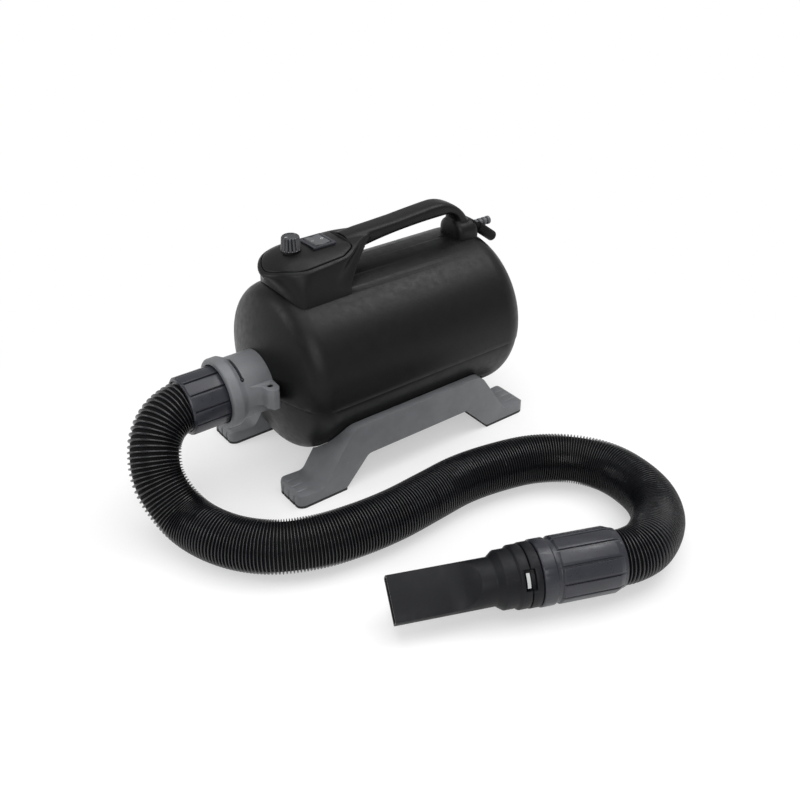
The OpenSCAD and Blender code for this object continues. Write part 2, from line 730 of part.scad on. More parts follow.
module outlet_collar() color([0.42, 0.43, 0.45]) {
    r = collar_d / 2;
    ring_r = collar_ring_d / 2;
    ring_z = collar_l - collar_ring_l;
    difference() {
        union() {
            difference() {
                forward(front_apex_y, outlet_h) rotate_extrude() polygon(rounded([
                    [0, -30, 0], [r, -30, 0], [r, ring_z - 6, 8], [ring_r, ring_z + 1, 3],
                    [ring_r, collar_l, 2.5], [0, collar_l, 0]], 6));
                drum_solid(-0.1);
            }
            forward(front_apex_y + 16, outlet_h) cylinder(r = outlet_hole_r - fit_gap / 2, h = 20);
            difference() {
                collar_ear();
                drum_solid(-0.6);
            }
        }
        forward(front_apex_y + 30, outlet_h) cylinder(d = outlet_bore_d, h = 200);
        forward(front_apex_y - collar_l + socket_depth, outlet_h) cylinder(r = collar_bore_r, h = 80);
        forward(front_apex_y - collar_l + 9, outlet_h) cylinder(r = mouth_bore_r, h = 80);
        forward(front_apex_y - slit_z, outlet_h) for (a = [0, 180]) rotate([0, 0, a]) {
            sector_slit(collar_bore_r - 1, ring_r + 2, slit_a, slit_w);
            rotate([0, 0, slit_a[0]]) rotate([0, 90, 0]) cylinder(r = 2, h = ring_r + 2);
        }
        translate([ear_x, ear_y, 0]) cylinder(d = ear_hole_d, h = 300);
    }
}

// Finger pads round a sleeve: a straight bar with rounded ends for each pad
module pad_ring(r, l, root_r) {
    half = 180 / pad_n;
    width = 2 * r * sin(half) - pad_gap;
    for (k = [0:pad_n - 1]) rotate([0, 0, 360 * k / pad_n])
        intersection() {
            translate([root_r - 4, -width / 2, 0]) cube([r - root_r + 6, width, l]);
            cylinder(r = r, h = l);
            rotate([0, 0, 0]) translate([0, -width / 2, -1]) cube([r - 0.35, width, l + 2]);
        }
}

cuff_bore_r = hose_d / 2 + 1;
cuff_root_r = cuff_bore_r + 1.7;
cuff_end_y = collar_front_y - cuff_l;
hose_insert = 48;

module hose_cuff() color([0.2, 0.21, 0.24]) {
    plug_z = -socket_depth + fit_gap;
    difference() {
        union() {
            forward(collar_front_y, outlet_h) {
                translate([0, 0, plug_z]) cylinder(d = cuff_plug_d, h = -plug_z - 8.4);
                translate([0, 0, -8.5]) cylinder(r = cuff_root_r, h = cuff_l + 8.5 - 1);
                translate([0, 0, -8]) pad_ring(cuff_d / 2, cuff_l + 6, cuff_root_r);
                translate([0, 0, cuff_l - 3]) rotate_extrude() polygon(rounded([[0, 0, 0],
                    [cuff_root_r + 1.4, 0, 0.5], [cuff_root_r + 0.4, 3, 1], [0, 3, 0]], 3));
            }
            forward(front_apex_y - slit_z, outlet_h) for (a = [0, 180]) rotate([0, 0, a + slit_a[0]])
                rotate([0, 90, 0]) cylinder(r = pin_r, h = collar_d / 2 - 0.2);
        }
        forward(collar_front_y + 60, outlet_h) cylinder(d = outlet_bore_d - 2, h = 200);
        forward(cuff_end_y + hose_insert + fit_gap, outlet_h) cylinder(r = cuff_bore_r, h = 200);
    }
}

// ---------------------------------------------------------------- hose

u_grip = [cos(grip_yaw), sin(grip_yaw), 0];
grip_h = grip_d / 2;
grip_end = [grip_x, grip_y, grip_h];
grip_insert = 42;
low = hose_d / 2;

// Points that the hose follows, from inside the cuff to inside the handgrip
shift = cuff_end_y + 221;
route = [
    [0, cuff_end_y + hose_insert, outlet_h], [0, cuff_end_y + 20.5, outlet_h],
    [0, cuff_end_y - 2.5, outlet_h], [6, shift - 245.5, outlet_h - 7], [18, shift - 261.5, outlet_h - 23],
    [38, shift - 268.5, 57], [71, shift - 259.5, low + 4], [116, shift / 2 - 242.5, low],
    [151, -213.5, low], [171, -174.5, low], [180, -132.5, low], [183, -90.5, low],
    [181, -47.5, low], [179, -3.5, low], [185, 39.5, low], [198, 81.5, low], [224, 116.5, low],
    [262, 135.5, low], [309, 132.5, low], [343, 111.5, low], [365, 72.5, low + 5],
    grip_end + u_grip * 14, grip_end - u_grip * 14, grip_end - u_grip * (grip_insert - 14),
    grip_end - u_grip * grip_insert];

route_steps = 10;
route_n = len(route);
function route_point(i) = i < 0 ? 2 * route[0] - route[1]
    : i >= route_n ? 2 * route[route_n - 1] - route[route_n - 2] : route[i];
// Smooth curve through four neighbouring points
function curve(a, b, c, d, t) =
    (2 * b + (c - a) * t + (2 * a - 5 * b + 4 * c - d) * t * t
        + (3 * b - a - 3 * c + d) * t * t * t) / 2;
path = concat([for (i = [0:route_n - 2], k = [0:route_steps - 1])
    curve(route_point(i - 1), route_point(i), route_point(i + 1), route_point(i + 2),
        k / route_steps)], [route[route_n - 1]]);
function running(p, i = 0, s = 0, out = []) = i >= len(p) ? out
    : running(p, i + 1, s + (i + 1 < len(p) ? norm(p[i + 1] - p[i]) : 0), concat(out, [s]));
along = running(path);
hose_l = along[len(path) - 1];
by_x = [for (i = [0:len(path) - 1]) [along[i], path[i][0]]];
by_y = [for (i = [0:len(path) - 1]) [along[i], path[i][1]]];
by_z = [for (i = [0:len(path) - 1]) [along[i], path[i][2]]];
function hose_at(s) = [lookup(s, by_x), lookup(s, by_y), lookup(s, by_z)];
function hose_way(s) = unit(hose_at(min(s + 4, hose_l)) - hose_at(max(s - 4, 0)));
hose_sides = 8;
function hose_ring(s, r) =
    let (c = hose_at(s), w = hose_way(s), side = unit(cross(w, [0, 0, 1])), top = cross(side, w))
    [for (k = [0:hose_sides - 1]) let (a = 360 * (k + 0.5) / hose_sides)
        c + r * hose_full(s) * (side * cos(a) + top * sin(a))];
// The flats, not the edges, of the tube's sides lie at its radius outside cuff and handgrip
function hose_full(s) = s < hose_insert + 9 || s > hose_l - grip_insert - 3 ? 1 : 1 / cos(180 / hose_sides);
bore_rings = 60;

echo(hose_length = hose_l);

module hose() color([0.09, 0.09, 0.1]) {
    pitch = hose_l / rib_n;
    outer = [for (k = [0:rib_n - 1]) each [
        hose_ring((k + (k == 0 ? 0 : 0.25)) * pitch, hose_d / 2 - rib_h),
        hose_ring((k + 0.75) * pitch, hose_d / 2)], hose_ring(hose_l, hose_d / 2 - rib_h)];
    inner = [for (k = [bore_rings:-1:0]) hose_ring(hose_l * k / bore_rings,
        hose_d / 2 - rib_h - hose_wall)];
    rings = concat(outer, inner);
    n = hose_sides;
    m = len(rings);
    faces = [for (i = [0:m - 1], j = [0:n - 1])
        let (k = (j + 1) % n, p = i * n, q = ((i + 1) % m) * n)
        each [[p + j, p + k, q + j], [p + k, q + k, q + j]]];
    polyhedron([for (r = rings) each r], faces, convexity = 8);
}

// ---------------------------------------------------------------- handgrip and nozzle

// Frame of the handgrip: +Z runs from its hose end towards the nozzle
module at_grip() {
    translate(grip_end) rotate([0, 0, grip_yaw + 180]) rotate([0, 90, 0]) children();
}

grip_bore_r = hose_d / 2 + 1;
grip_root_r = grip_d / 2 - 1.5;
sleeve_in_l = 22;
spigot_r = nozzle_collar_d / 2 - 2.4;
spigot_l = 8;
lock_sleeve_r = spigot_r + 2.6;
lock_z = grip_l + fit_gap;
flange_z = lock_z + lock_l + 0.5;
lock_end_z = flange_z + flange_l;

module handgrip() color([0.2, 0.21, 0.24]) {
    bevel_l = 9.6;
    at_grip() difference() {
        union() {
            rotate_extrude() polygon(rounded([[0, 0, 0], [grip_root_r - 1.5, 0, 1],
                [grip_root_r, bevel_l, 3], [grip_root_r, grip_l - 14, 1], [grip_d / 2, grip_l - 13, 1],
                [grip_d / 2, grip_l, 1.5], [0, grip_l, 0]], 4));
            translate([0, 0, 4]) intersection() {
                pad_ring(grip_d / 2 + 0.1, grip_l - 22, grip_root_r);
                rotate_extrude() polygon([[0, 0], [grip_root_r - 0.5, 0], [grip_d / 2 + 0.2, bevel_l - 4],
                    [grip_d / 2 + 0.2, grip_l - 24], [grip_root_r, grip_l - 21.5], [0, grip_l - 21.5]]);
            }
        }
        translate([0, 0, -1]) cylinder(r = grip_bore_r, h = grip_insert + 1 + fit_gap);
        cylinder(r = hose_d / 2 - rib_h - hose_wall, h = grip_l + 2);
        translate([0, 0, grip_l - sleeve_in_l])
            cylinder(r = lock_sleeve_r + fit_gap / 3, h = sleeve_in_l + 2);
    }
}

// Latch windows: each is half in the lock ring and half in the nozzle's flange
latch_at = [-21, 159];
window_a = window_w / lock_d * 360 / 3.1416;
latch_a = (window_w - 4.6) / lock_d * 360 / 3.1416;
air_r = hose_d / 2 - rib_h - hose_wall;

module lock_ring() color([0.15, 0.155, 0.17]) {
    at_grip() {
        difference() {
            union() {
                translate([0, 0, grip_l - sleeve_in_l + fit_gap])
                    cylinder(r = lock_sleeve_r, h = lock_z - grip_l + sleeve_in_l);
                translate([0, 0, lock_z]) rotate_extrude() polygon(rounded([[0, 0, 0],
                    [lock_d / 2, 0, 1.2], [lock_d / 2, lock_l, 1], [0, lock_l, 0]], 4));
                translate([0, 0, lock_z + lock_l - 1]) cylinder(r = spigot_r, h = spigot_l + 1);
            }
            translate([0, 0, grip_l - sleeve_in_l - 1]) cylinder(r = air_r, h = 100);
            for (a = latch_at) rotate([0, 0, a + blade_roll]) translate([0, 0, lock_z + lock_l])
                sector_slit(spigot_r + 0.5, lock_d / 2 + 1, [-window_a / 2, window_a / 2], 7);
        }
        for (a = latch_at) rotate([0, 0, a + blade_roll]) translate([0, 0, flange_z + 3.4])
            sector_slit(spigot_r - 1, nozzle_flange_r - 0.8, [-latch_a / 2, latch_a / 2], 3.6);
    }
}

// Material taken off one side of the blade: flat towards the mouth, with a round scallop behind
module blade_cutter(t, start, r) {
    rotate([90, 0, 0]) linear_extrude(200, center = true) {
        translate([t / 2, start + r]) square([100, 300]);
        intersection() {
            translate([t / 2 + r, start + r]) circle(r = r);
            translate([t / 2, start]) square([100, r + eps]);
        }
    }
}

nozzle_flange_r = lock_d / 2 - 0.6;

module nozzle() color([0.16, 0.165, 0.18]) {
    flat_z = lock_end_z + nozzle_neck_l - 5;
    bore_r = nozzle_d / 2 - nozzle_wall;
    scallop_r = 36;
    at_grip() rotate([0, 0, blade_roll]) difference() {
        union() {
            translate([0, 0, flange_z]) rotate_extrude() polygon(rounded([[0, 0, 0],
                [nozzle_flange_r, 0, 0.8], [nozzle_flange_r, flange_l - 1, 1.4],
                [nozzle_collar_d / 2, flange_l + 0.5, 1], [nozzle_collar_d / 2, flange_l + 12.3, 1.5],
                [nozzle_d / 2, flange_l + 19, 2], [nozzle_d / 2, flange_l + 22, 0],
                [0, flange_l + 22, 0]], 4));
            difference() {
                translate([0, 0, lock_end_z + 20]) cylinder(d = nozzle_d, h = nozzle_l - 20);
                for (s = [0, 1]) mirror([s, 0, 0]) blade_cutter(blade_t, flat_z, scallop_r);
            }
        }
        translate([0, 0, flange_z - 1]) cylinder(r = spigot_r + run_play, h = spigot_l + 1.3);
        difference() {
            translate([0, 0, flange_z]) cylinder(r = bore_r, h = 300);
            for (s = [0, 1]) mirror([s, 0, 0])
                blade_cutter(blade_t - 2 * nozzle_wall, flat_z - nozzle_wall * 2, scallop_r);
        }
        for (a = latch_at) rotate([0, 0, a]) translate([0, 0, flange_z + 2.8])
            sector_slit(spigot_r - 2, lock_d, [-window_a / 2, window_a / 2], 7.5);
    }
}

// ---------------------------------------------------------------- skids

half_l = skid_l / 2;
foot_in = half_l - toe_l;
slope_l = 29;
beam_half = foot_in - slope_l;

// Side outline of a skid's half: x is the distance from its middle, y the height
function skid_outline(base) = rounded([
    [-half_l, base, 1.5], [-foot_in, base, 4], [-beam_half, beam_low_h, 9],
    [beam_half, beam_low_h, 9], [foot_in, base, 4], [half_l, base, 1.5],
    [half_l - 0.5, toe_h + 1, 6], [half_l - 31, toe_h - 1, 9], [beam_half + 18, beam_top_h, 16],
    [-beam_half - 18, beam_top_h, 16], [-half_l + 31, toe_h - 1, 9], [-half_l + 0.5, toe_h + 1, 6]], 6);

toe_corner_r = 9;
function plan_outline() =
    let (a = skid_x - skid_w, b = skid_x)
    rounded([[a, -half_l, toe_corner_r], [b, -half_l, toe_corner_r],
        [b, half_l, toe_corner_r], [a, half_l, toe_corner_r]], 6);

module toe_groove(x, end) {
    r = 1.7;
    run = 24;
    translate([x, end * half_l, 0]) cylinder(r = r, h = toe_h + 4);
    translate([x, end * (half_l - run), toe_h + 1.4]) rotate([end > 0 ? -90 : 90, 0, 0])
        cylinder(r = r, h = run + 2);
    translate([x, end * (half_l - run), toe_h + 1.4]) sphere(r = r);
}

module right_half_skid() {
    inner_x = skid_x - skid_w;
    translate([0, skid_mid_y, 0]) difference() {
        intersection() {
            translate([inner_x, 0, 0]) rotate([90, 0, 90]) linear_extrude(skid_w)
                polygon(skid_outline(sole_t));
            linear_extrude(200) polygon(plan_outline());
        }
        for (k = [1:toe_grooves], end = [-1, 1])
            toe_groove(inner_x + skid_w * k / (toe_grooves + 1), end);
        // Moulding pockets under the beam, with ribs left between them
        for (y = [-1, 0, 1] * (beam_half * 2 / 3))
            translate([inner_x + 11.5, y - beam_half / 3 + 1.5, 0])
                cube([skid_w - 16, beam_half * 2 / 3 - 3, beam_low_h + 5]);
        for (y = skid_screw_y) translate([skid_screw_x, y - skid_mid_y, 0])
            cylinder(r = screw_r + 0.4, h = 200);
    }
}

module skid_shape() {
    difference() {
        union() {
            right_half_skid();
            for (y = skid_screw_y) intersection() {
                translate([skid_screw_x, y, 0]) difference() {
                    translate([0, 0, beam_low_h]) cylinder(r = tower_r + 2, h = 10);
                    cylinder(r = screw_r + 0.4, h = 200);
                }
            }
        }
        drum_solid(-0.15);
        for (y = skid_screw_y) translate([skid_screw_x, y, 0])
            cylinder(r = head_r + 1, h = beam_low_h + head_h);
    }
}

module right_skid() color([0.42, 0.43, 0.45]) skid_shape();
module left_skid() color([0.42, 0.43, 0.45]) mirror([1, 0, 0]) skid_shape();

module skid_screws() color([0.55, 0.55, 0.58]) {
    at_skid_screws() translate([0, 0, beam_low_h]) screw(boss_top_h - beam_low_h - 4);
}

module rubber_soles() color([0.1, 0.1, 0.1]) {
    both_sides() translate([0, skid_mid_y, 0]) intersection() {
        translate([skid_x - skid_w, 0, 0]) rotate([90, 0, 90]) linear_extrude(skid_w)
            for (s = [-1, 1]) polygon(rounded([[s * half_l, 0, 1], [s * half_l, sole_t, 0],
                [s * foot_in, sole_t, 0], [s * foot_in, 0, 1]], 3));
        linear_extrude(50) difference() {
            polygon(plan_outline());
            for (k = [1:toe_grooves], s = [-1, 1])
                translate([skid_x - skid_w + skid_w * k / (toe_grooves + 1), s * half_l]) circle(r = 1.2);
        }
    }
}

// ---------------------------------------------------------------- intake

grille_r = intake_d / 2 + 7;
grille_t = 4;
plug_l = 10;
function rear_cap_y(r) = rear_apex_y - rear_dome_r + sqrt(pow(rear_dome_r, 2) - r * r);
grille_y = rear_cap_y(grille_r);
grille_screw_r = grille_r - 3.4;

// The three screws round the intake, at a distance behind the grille's seat
module at_grille_screws(d) {
    for (a = [90, 210, 330]) rearward(grille_y + d) rotate([0, 0, a]) translate([grille_screw_r, 0, 0])
        children();
}

module intake_grille() color([0.09, 0.09, 0.095]) {
    ring_w = (intake_d / 2 - 14) / (grille_rings * 2);
    difference() {
        union() {
            rearward(grille_y) rotate_extrude() polygon(rounded([[0, -2, 0], [grille_r, -2, 0],
                [grille_r, 1.4, 1.2], [grille_r - 12, grille_t + 1, 10], [0, grille_t + 1.4, 0]], 5));
            rearward(grille_y - plug_l) tube(intake_d / 2 - fit_gap, intake_d / 2 - 3.5, plug_l);
        }
        difference() {
            drum_solid(-0.05);
            rearward(grille_y - plug_l - 1) cylinder(r = intake_d / 2 - fit_gap, h = 40);
        }
        rearward(grille_y - 3) cylinder(r = intake_d / 2 - 3.5, h = 4.4);
        difference() {
            rearward(grille_y - 1) for (k = [0:grille_rings - 1])
                tube(12 + ring_w * (2 * k + 2), 12 + ring_w * (2 * k + 1), 30);
            rearward(grille_y - 1) for (k = [0:grille_spokes - 1]) rotate([0, 0, 360 * k / grille_spokes])
                translate([0, -1.1, 0]) cube([intake_d, 2.2, 30]);
        }
        at_grille_screws(-6) cylinder(r = 1.6, h = 30);
        at_grille_screws(1) cylinder(r = 2.7, h = 30);
    }
}

module grille_screws() color([0.55, 0.55, 0.58]) {
    at_grille_screws(-3) difference() {
        union() {
            cylinder(r = 1.5, h = 5);
            translate([0, 0, 4.02]) cylinder(r = 2.6, h = 1.6);
        }
        for (b = [0, 90]) rotate([0, 0, b]) translate([-1.7, -0.35, 4.9]) cube([3.4, 0.7, 1]);
    }
}

module filter_foam() color([0.25, 0.25, 0.26]) {
    rearward(grille_y - plug_l + 1) cylinder(r = intake_d / 2 - 3.5 - fit_gap, h = plug_l - 0.2);
}

// ---------------------------------------------------------------- blower and motor

inner_r = body_r - wall;
fan_rear_y = rear_y - 40;
fan_front_y = fan_rear_y - fan_l;
eye_r = 24;
sheet = 1.5;
bulk_t = 4;
seal_t = 4;

module motor_bulkhead() color([0.15, 0.15, 0.16]) {
    rearward(fan_front_y + 8) tube(inner_r - fit_gap, fan_d / 2 + seal_t + 0.2, bulk_t);
}

module motor_seal() color([0.2, 0.18, 0.16]) {
    difference() {
        rearward(fan_front_y + 4) union() {
            tube(fan_d / 2 + seal_t, fan_d / 2 + 0.1, bulk_t + 8);
            tube(fan_d / 2 + seal_t + 3, fan_d / 2 + 0.1, 3.8);
        }
    }
}

module fan_casing() color([0.72, 0.73, 0.75]) {
    rearward(fan_front_y) difference() {
        cylinder(d = fan_d, h = fan_l);
        translate([0, 0, -1]) cylinder(r = fan_d / 2 - sheet, h = fan_l - sheet + 1);
        cylinder(r = eye_r, h = fan_l + 1);
    }
    rearward(fan_rear_y - 3) tube(eye_r + 2, eye_r, 5);
}

wheel_r = fan_d / 2 - 5;
wheel_l = fan_l - 14;
motor_r = motor_shaft_d / 2;

module fan_wheel() color([0.78, 0.79, 0.8]) {
    arc_r = wheel_r * 0.62;
    rearward(fan_front_y + 9) {
        difference() {
            union() {
                cylinder(r = wheel_r, h = 1.4);
                cylinder(r = 14, h = 8);
                intersection() {
                    for (k = [0:blade_n - 1]) rotate([0, 0, 360 * k / blade_n])
                        translate([wheel_r * 0.55, arc_r * 0.62, 0]) tube(arc_r, arc_r - 1.2, wheel_l);
                    rotate_extrude() polygon([[eye_r - 6, 0], [wheel_r, 0], [wheel_r, wheel_l * 0.62],
                        [eye_r, wheel_l], [eye_r - 6, wheel_l]]);
                    blade_fan();
                }
            }
            translate([0, 0, -1]) cylinder(r = motor_r + 0.01, h = 20);
        }
    }
}

// Sectors that keep one side of each blade's arc
module blade_fan() {
    for (k = [0:blade_n - 1]) rotate([0, 0, 360 * k / blade_n])
        linear_extrude(wheel_l) polygon([[0, 0], turn([2 * wheel_r, 0], -8), turn([2 * wheel_r, 0], 12)]);
}

stator_y = fan_front_y - 22 - core_l;
end_bell_y = stator_y - 34;
frame_r = stator_d / 2 + 4;

module motor_frame() color([0.6, 0.61, 0.63]) {
    rearward(fan_front_y - 8) difference() {
        union() {
            cylinder(r = fan_d / 2 - sheet - 0.1, h = 9.5);
            translate([0, 0, -6]) cylinder(r = 17, h = 8);
        }
        translate([0, 0, -8]) cylinder(r = 11.1, h = 10);
        cylinder(r = motor_r + 2, h = 30);
        for (k = [0:5]) rotate([0, 0, 60 * k + 30]) translate([42, 0, -1]) cylinder(r = 11, h = 30);
    }
    rearward(end_bell_y) difference() {
        union() {
            cylinder(r = 17, h = 10);
            for (k = [0:3]) rotate([0, 0, 90 * k + 45]) {
                translate([0, -6, 4]) cube([frame_r, 12, 5]);
                translate([stator_d / 2 + 0.1, -6, 4]) cube([4, 12, fan_front_y - 8 - end_bell_y - 4 + 1]);
            }
        }
        translate([0, 0, 2]) cylinder(r = 9.6, h = 20);
        translate([0, 0, -1]) cylinder(r = motor_r + 1, h = 20);
    }
}

module stator() color([0.45, 0.42, 0.38]) {
    difference() {
        rearward(stator_y) difference() {
            cylinder(d = stator_d, h = core_l);
            translate([0, 0, -1]) cylinder(r = rotor_d / 2 + 0.8, h = core_l + 2);
            for (a = [0, 180]) rotate([0, 0, a]) translate([-15, rotor_d / 2 - 5, -1])
                cube([30, 14, core_l + 2]);
        }
    }
    // Field windings in the two slots
    rearward(stator_y - 5) for (a = [0, 180]) rotate([0, 0, a])
        translate([-14.9, rotor_d / 2 + 1.4, 0]) cube([29.8, 7.5, core_l + 10]);
}

module armature() color([0.5, 0.4, 0.3]) {
    slots = 12;
    rearward(stator_y) difference() {
        union() {
            cylinder(d = rotor_d, h = core_l);
            translate([0, 0, -7]) cylinder(r = rotor_d / 2 - 4, h = core_l + 14);
        }
        for (k = [0:slots - 1]) rotate([0, 0, 360 * k / slots]) translate([rotor_d / 2 - 1.4, -0.8, -1])
            cube([3, 1.6, core_l + 2]);
        translate([0, 0, -10]) cylinder(r = motor_r + 0.01, h = core_l + 30);
    }
}

commutator_r = 11;
commutator_l = 13;
commutator_y = stator_y - 7 - commutator_l;

module commutator() color([0.72, 0.45, 0.25]) {
    bars = 24;
    rearward(commutator_y) difference() {
        cylinder(r = commutator_r, h = commutator_l);
        for (k = [0:bars - 1]) rotate([0, 0, 360 * k / bars]) translate([commutator_r - 0.7, -0.2, -1])
            cube([2, 0.4, commutator_l + 2]);
        translate([0, 0, -1]) cylinder(r = motor_r + 0.01, h = commutator_l + 2);
    }
}

shaft_front_y = end_bell_y + 1;
shaft_rear_y = fan_front_y + 9 + 12;

module motor_shaft() color([0.75, 0.75, 0.77]) {
    rearward(shaft_front_y) cylinder(r = motor_r, h = shaft_rear_y - shaft_front_y);
    rearward(fan_front_y + 9 + 8) tube(7, motor_r - eps, 3);
}

module motor_bearings() color([0.68, 0.69, 0.71]) {
    rearward(fan_front_y - 13.9) tube(11, motor_r + run_play, 7);
    rearward(end_bell_y + 2.1) tube(9.5, motor_r + run_play, 6);
}

brush_in_r = commutator_r + 0.3;
brush_l = 16;

module at_brushes() {
    for (a = [0, 180]) translate([0, commutator_y + commutator_l / 2, body_axis_h]) rotate([0, a, 0])
        rotate([0, 90, 0]) children();
}

module brush_holders() color([0.75, 0.6, 0.3]) {
    at_brushes() translate([0, 0, brush_in_r + 2]) difference() {
        translate([-4.5, -5, 0]) cube([9, 10, frame_r - brush_in_r - 8]);
        translate([-3.1, -3.6, -1]) cube([6.2, 7.2, brush_l + 6]);
    }
    // Straps that carry the holders on the end bell
    strap_y = end_bell_y + 10.02 - commutator_y - commutator_l / 2;
    at_brushes() translate([-4.5, strap_y, brush_in_r + 2.5]) cube([9, -5 - strap_y + 0.5, 3]);
}

module carbon_brushes() color([0.12, 0.12, 0.12]) {
    at_brushes() translate([-3, -3.5, brush_in_r]) cube([6, 7, brush_l]);
}

mount_y = end_bell_y - 9;

module front_mount() color([0.2, 0.18, 0.16]) {
    leg_w = 26;
    difference() {
        union() {
            rearward(mount_y) cylinder(r = 24, h = 12);
            translate([-leg_w / 2, mount_y, belly_h(0, wall) + 1]) cube([leg_w, 12, inner_r - 4]);
        }
        rearward(mount_y + 6) cylinder(r = 17.2, h = 20);
        rearward(mount_y - 1) cylinder(r = 12, h = 20);
        difference() {
            translate([-50, mount_y - 5, 0]) cube([100, 40, 60]);
            drum_solid(wall + fit_gap / 2);
        }
    }
}

// ---------------------------------------------------------------- heater and board

heater_y = front_y + 30;
heater_l = 40;
heater_r = 40;

module heater_plate() color([0.7, 0.7, 0.72]) {
    rearward(heater_y) tube(inner_r - fit_gap, heater_r, 1.5);
    rearward(heater_y - heater_l) tube(heater_r + 1.2, heater_r, heater_l + 0.5);
}

module heater_former() color([0.8, 0.76, 0.68]) {
    for (a = [0, 90]) rearward(heater_y - heater_l + 1) rotate([0, 0, a]) {
        translate([-coil_r + coil_gap, -0.8, 0]) cube([2 * (coil_r - coil_gap), 1.6, heater_l - 2]);
        for (z = [0, heater_l - 4]) translate([-heater_r + fit_gap, -0.8, z])
            cube([2 * (heater_r - fit_gap), 1.6, 2]);
    }
}

coil_turns = 8;
coil_steps = 12;
coil_r = heater_r - 11;
wire_r = 1.1;
coil_gap = wire_r + 0.4;

// Heating wire: one unbroken helix round the cross-shaped former
module heater_wire() color([0.6, 0.55, 0.5]) {
    total = coil_turns * coil_steps;
    rise = (heater_l - 10) / total;
    rings = [for (i = [0:total])
        let (a = 360 * i / coil_steps, way = unit([-sin(a), cos(a), rise * coil_steps / (6.2832 * coil_r)]),
             out = [cos(a), sin(a), 0], top = cross(way, out))
        [for (k = [0:3]) [coil_r * cos(a), coil_r * sin(a), rise * i]
            + wire_r * (out * cos(90 * k) - top * sin(90 * k))]];
    rearward(heater_y - heater_l + 5) skin(rings);
}

module speed_board() color([0.1, 0.35, 0.2]) {
    difference() {
        union() {
            translate([-board_size[0] / 2, board_y - board_size[1] / 2, board_h]) cube(board_size);
            translate([-12, board_y - 10, board_h - 16]) cube([3, 20, 16]);
            for (k = [0:4]) translate([-9 + eps, board_y - 10 + k * 4.5, board_h - 16]) cube([8, 1.5, 16]);
            translate([14, board_y - 8, board_h - 9]) cylinder(r = 5, h = 9);
        }
    }
}

upper_housing();
lower_housing();
top_handle();
control_panel();
speed_knob();
control_shaft();
potentiometer();
switch_frame();
switch_rocker();
cable_sleeve();
fuse_cap();
outlet_collar();
hose_cuff();
hose();
handgrip();
lock_ring();
nozzle();
left_skid();
right_skid();
rubber_soles();
skid_screws();
housing_screws();
handle_screws();
intake_grille();
grille_screws();
filter_foam();
motor_bulkhead();
motor_seal();
fan_casing();
fan_wheel();
motor_frame();
stator();
armature();
commutator();
motor_shaft();
motor_bearings();
brush_holders();
carbon_brushes();
front_mount();
heater_plate();
heater_former();
heater_wire();
speed_board();
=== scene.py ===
"""Pet dryer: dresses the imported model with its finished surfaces, lights and camera."""
import sys
import logging
import math
from dataclasses import dataclass
from enum import Enum
from typing import Callable, Iterable, Sequence

import bmesh
import bpy
from mathutils import Matrix, Vector


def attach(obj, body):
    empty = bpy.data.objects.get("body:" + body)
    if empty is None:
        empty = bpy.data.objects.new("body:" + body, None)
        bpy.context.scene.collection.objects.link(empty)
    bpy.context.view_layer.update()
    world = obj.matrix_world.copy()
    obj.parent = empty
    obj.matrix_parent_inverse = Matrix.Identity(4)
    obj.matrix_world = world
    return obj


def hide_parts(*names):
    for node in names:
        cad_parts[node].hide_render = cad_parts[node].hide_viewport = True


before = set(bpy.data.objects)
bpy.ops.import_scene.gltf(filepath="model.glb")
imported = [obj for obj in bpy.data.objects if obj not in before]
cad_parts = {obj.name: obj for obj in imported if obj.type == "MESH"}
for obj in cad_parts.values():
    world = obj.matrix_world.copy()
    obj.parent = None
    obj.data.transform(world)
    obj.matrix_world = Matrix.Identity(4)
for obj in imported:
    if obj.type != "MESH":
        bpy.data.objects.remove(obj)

log = logging.getLogger("pet_dryer")
Flat = tuple[float, float]
Point = tuple[float, float, float]
Ring = list[Point]

# Metres in a millimetre
MM = 0.001
# Points nearer than this, in metres, become one
WELD = 2e-6
# A length below this counts as nothing
TINY = 1e-6
# Corners of a rectangle, counted round
SQUARE = ((-1, -1), (1, -1), (1, 1), (-1, 1))
# Height of the outlet's axis over the floor, in millimetres
OUTLET_H = 108.0
# The handgrip's mouth, in millimetres, and the heading of the hose out of it, in degrees
GRIP: Point = (360.5, 31.0, 31.0)
GRIP_YAW = 68.0


class Body(Enum):
    """The bodies that a new piece may ride on."""

    DRYER = "dryer"
    KNOB = "knob"
    ROCKER = "rocker"
    CUFF = "cuff"
    NOZZLE = "nozzle"


class Join(Enum):
    """The ways to combine two solids."""

    CUT = "DIFFERENCE"
    ADD = "UNION"


class Slot(Enum):
    """The finishes that a piece may wear."""

    HOUSING = "housing"
    GREY = "grey"
    CUFF = "cuff"
    HOSE = "hose"
    # Painted shade: the darker, duller tone in the hose's grooves
    GROOVE = "groove"
    NOZZLE = "nozzle"
    KNOB = "knob"
    # The sleeve's grey, which on the rocker is painted reflection of its gloss
    SLEEVE = "sleeve"
    RUBBER = "rubber"
    STEEL = "steel"
    SHEET = "sheet"
    CORE = "core"
    COPPER = "copper"
    BRASS = "brass"
    CARBON = "carbon"
    INNER_PLASTIC = "inner_plastic"
    FOAM = "foam"
    CERAMIC = "ceramic"
    WIRE = "wire"
    BOARD = "board"
    MARK = "mark"


# ------------------------------------------------------------------ bench


def deselect() -> None:
    """Leaves nothing selected."""
    bpy.ops.object.select_all(action="DESELECT")


def pick(piece: bpy.types.Object) -> None:
    """Selects one piece alone and makes it active.

    Args:
        piece: The piece to work on.
    """
    deselect()
    piece.select_set(True)
    bpy.context.view_layer.objects.active = piece


def edit(piece: bpy.types.Object) -> bmesh.types.BMesh:
    """Opens a piece in edit mode.

    Args:
        piece: The piece to work on.

    Returns:
        Its edit mesh.
    """
    pick(piece)
    bpy.ops.object.mode_set(mode="EDIT")
    return bmesh.from_edit_mesh(piece.data)


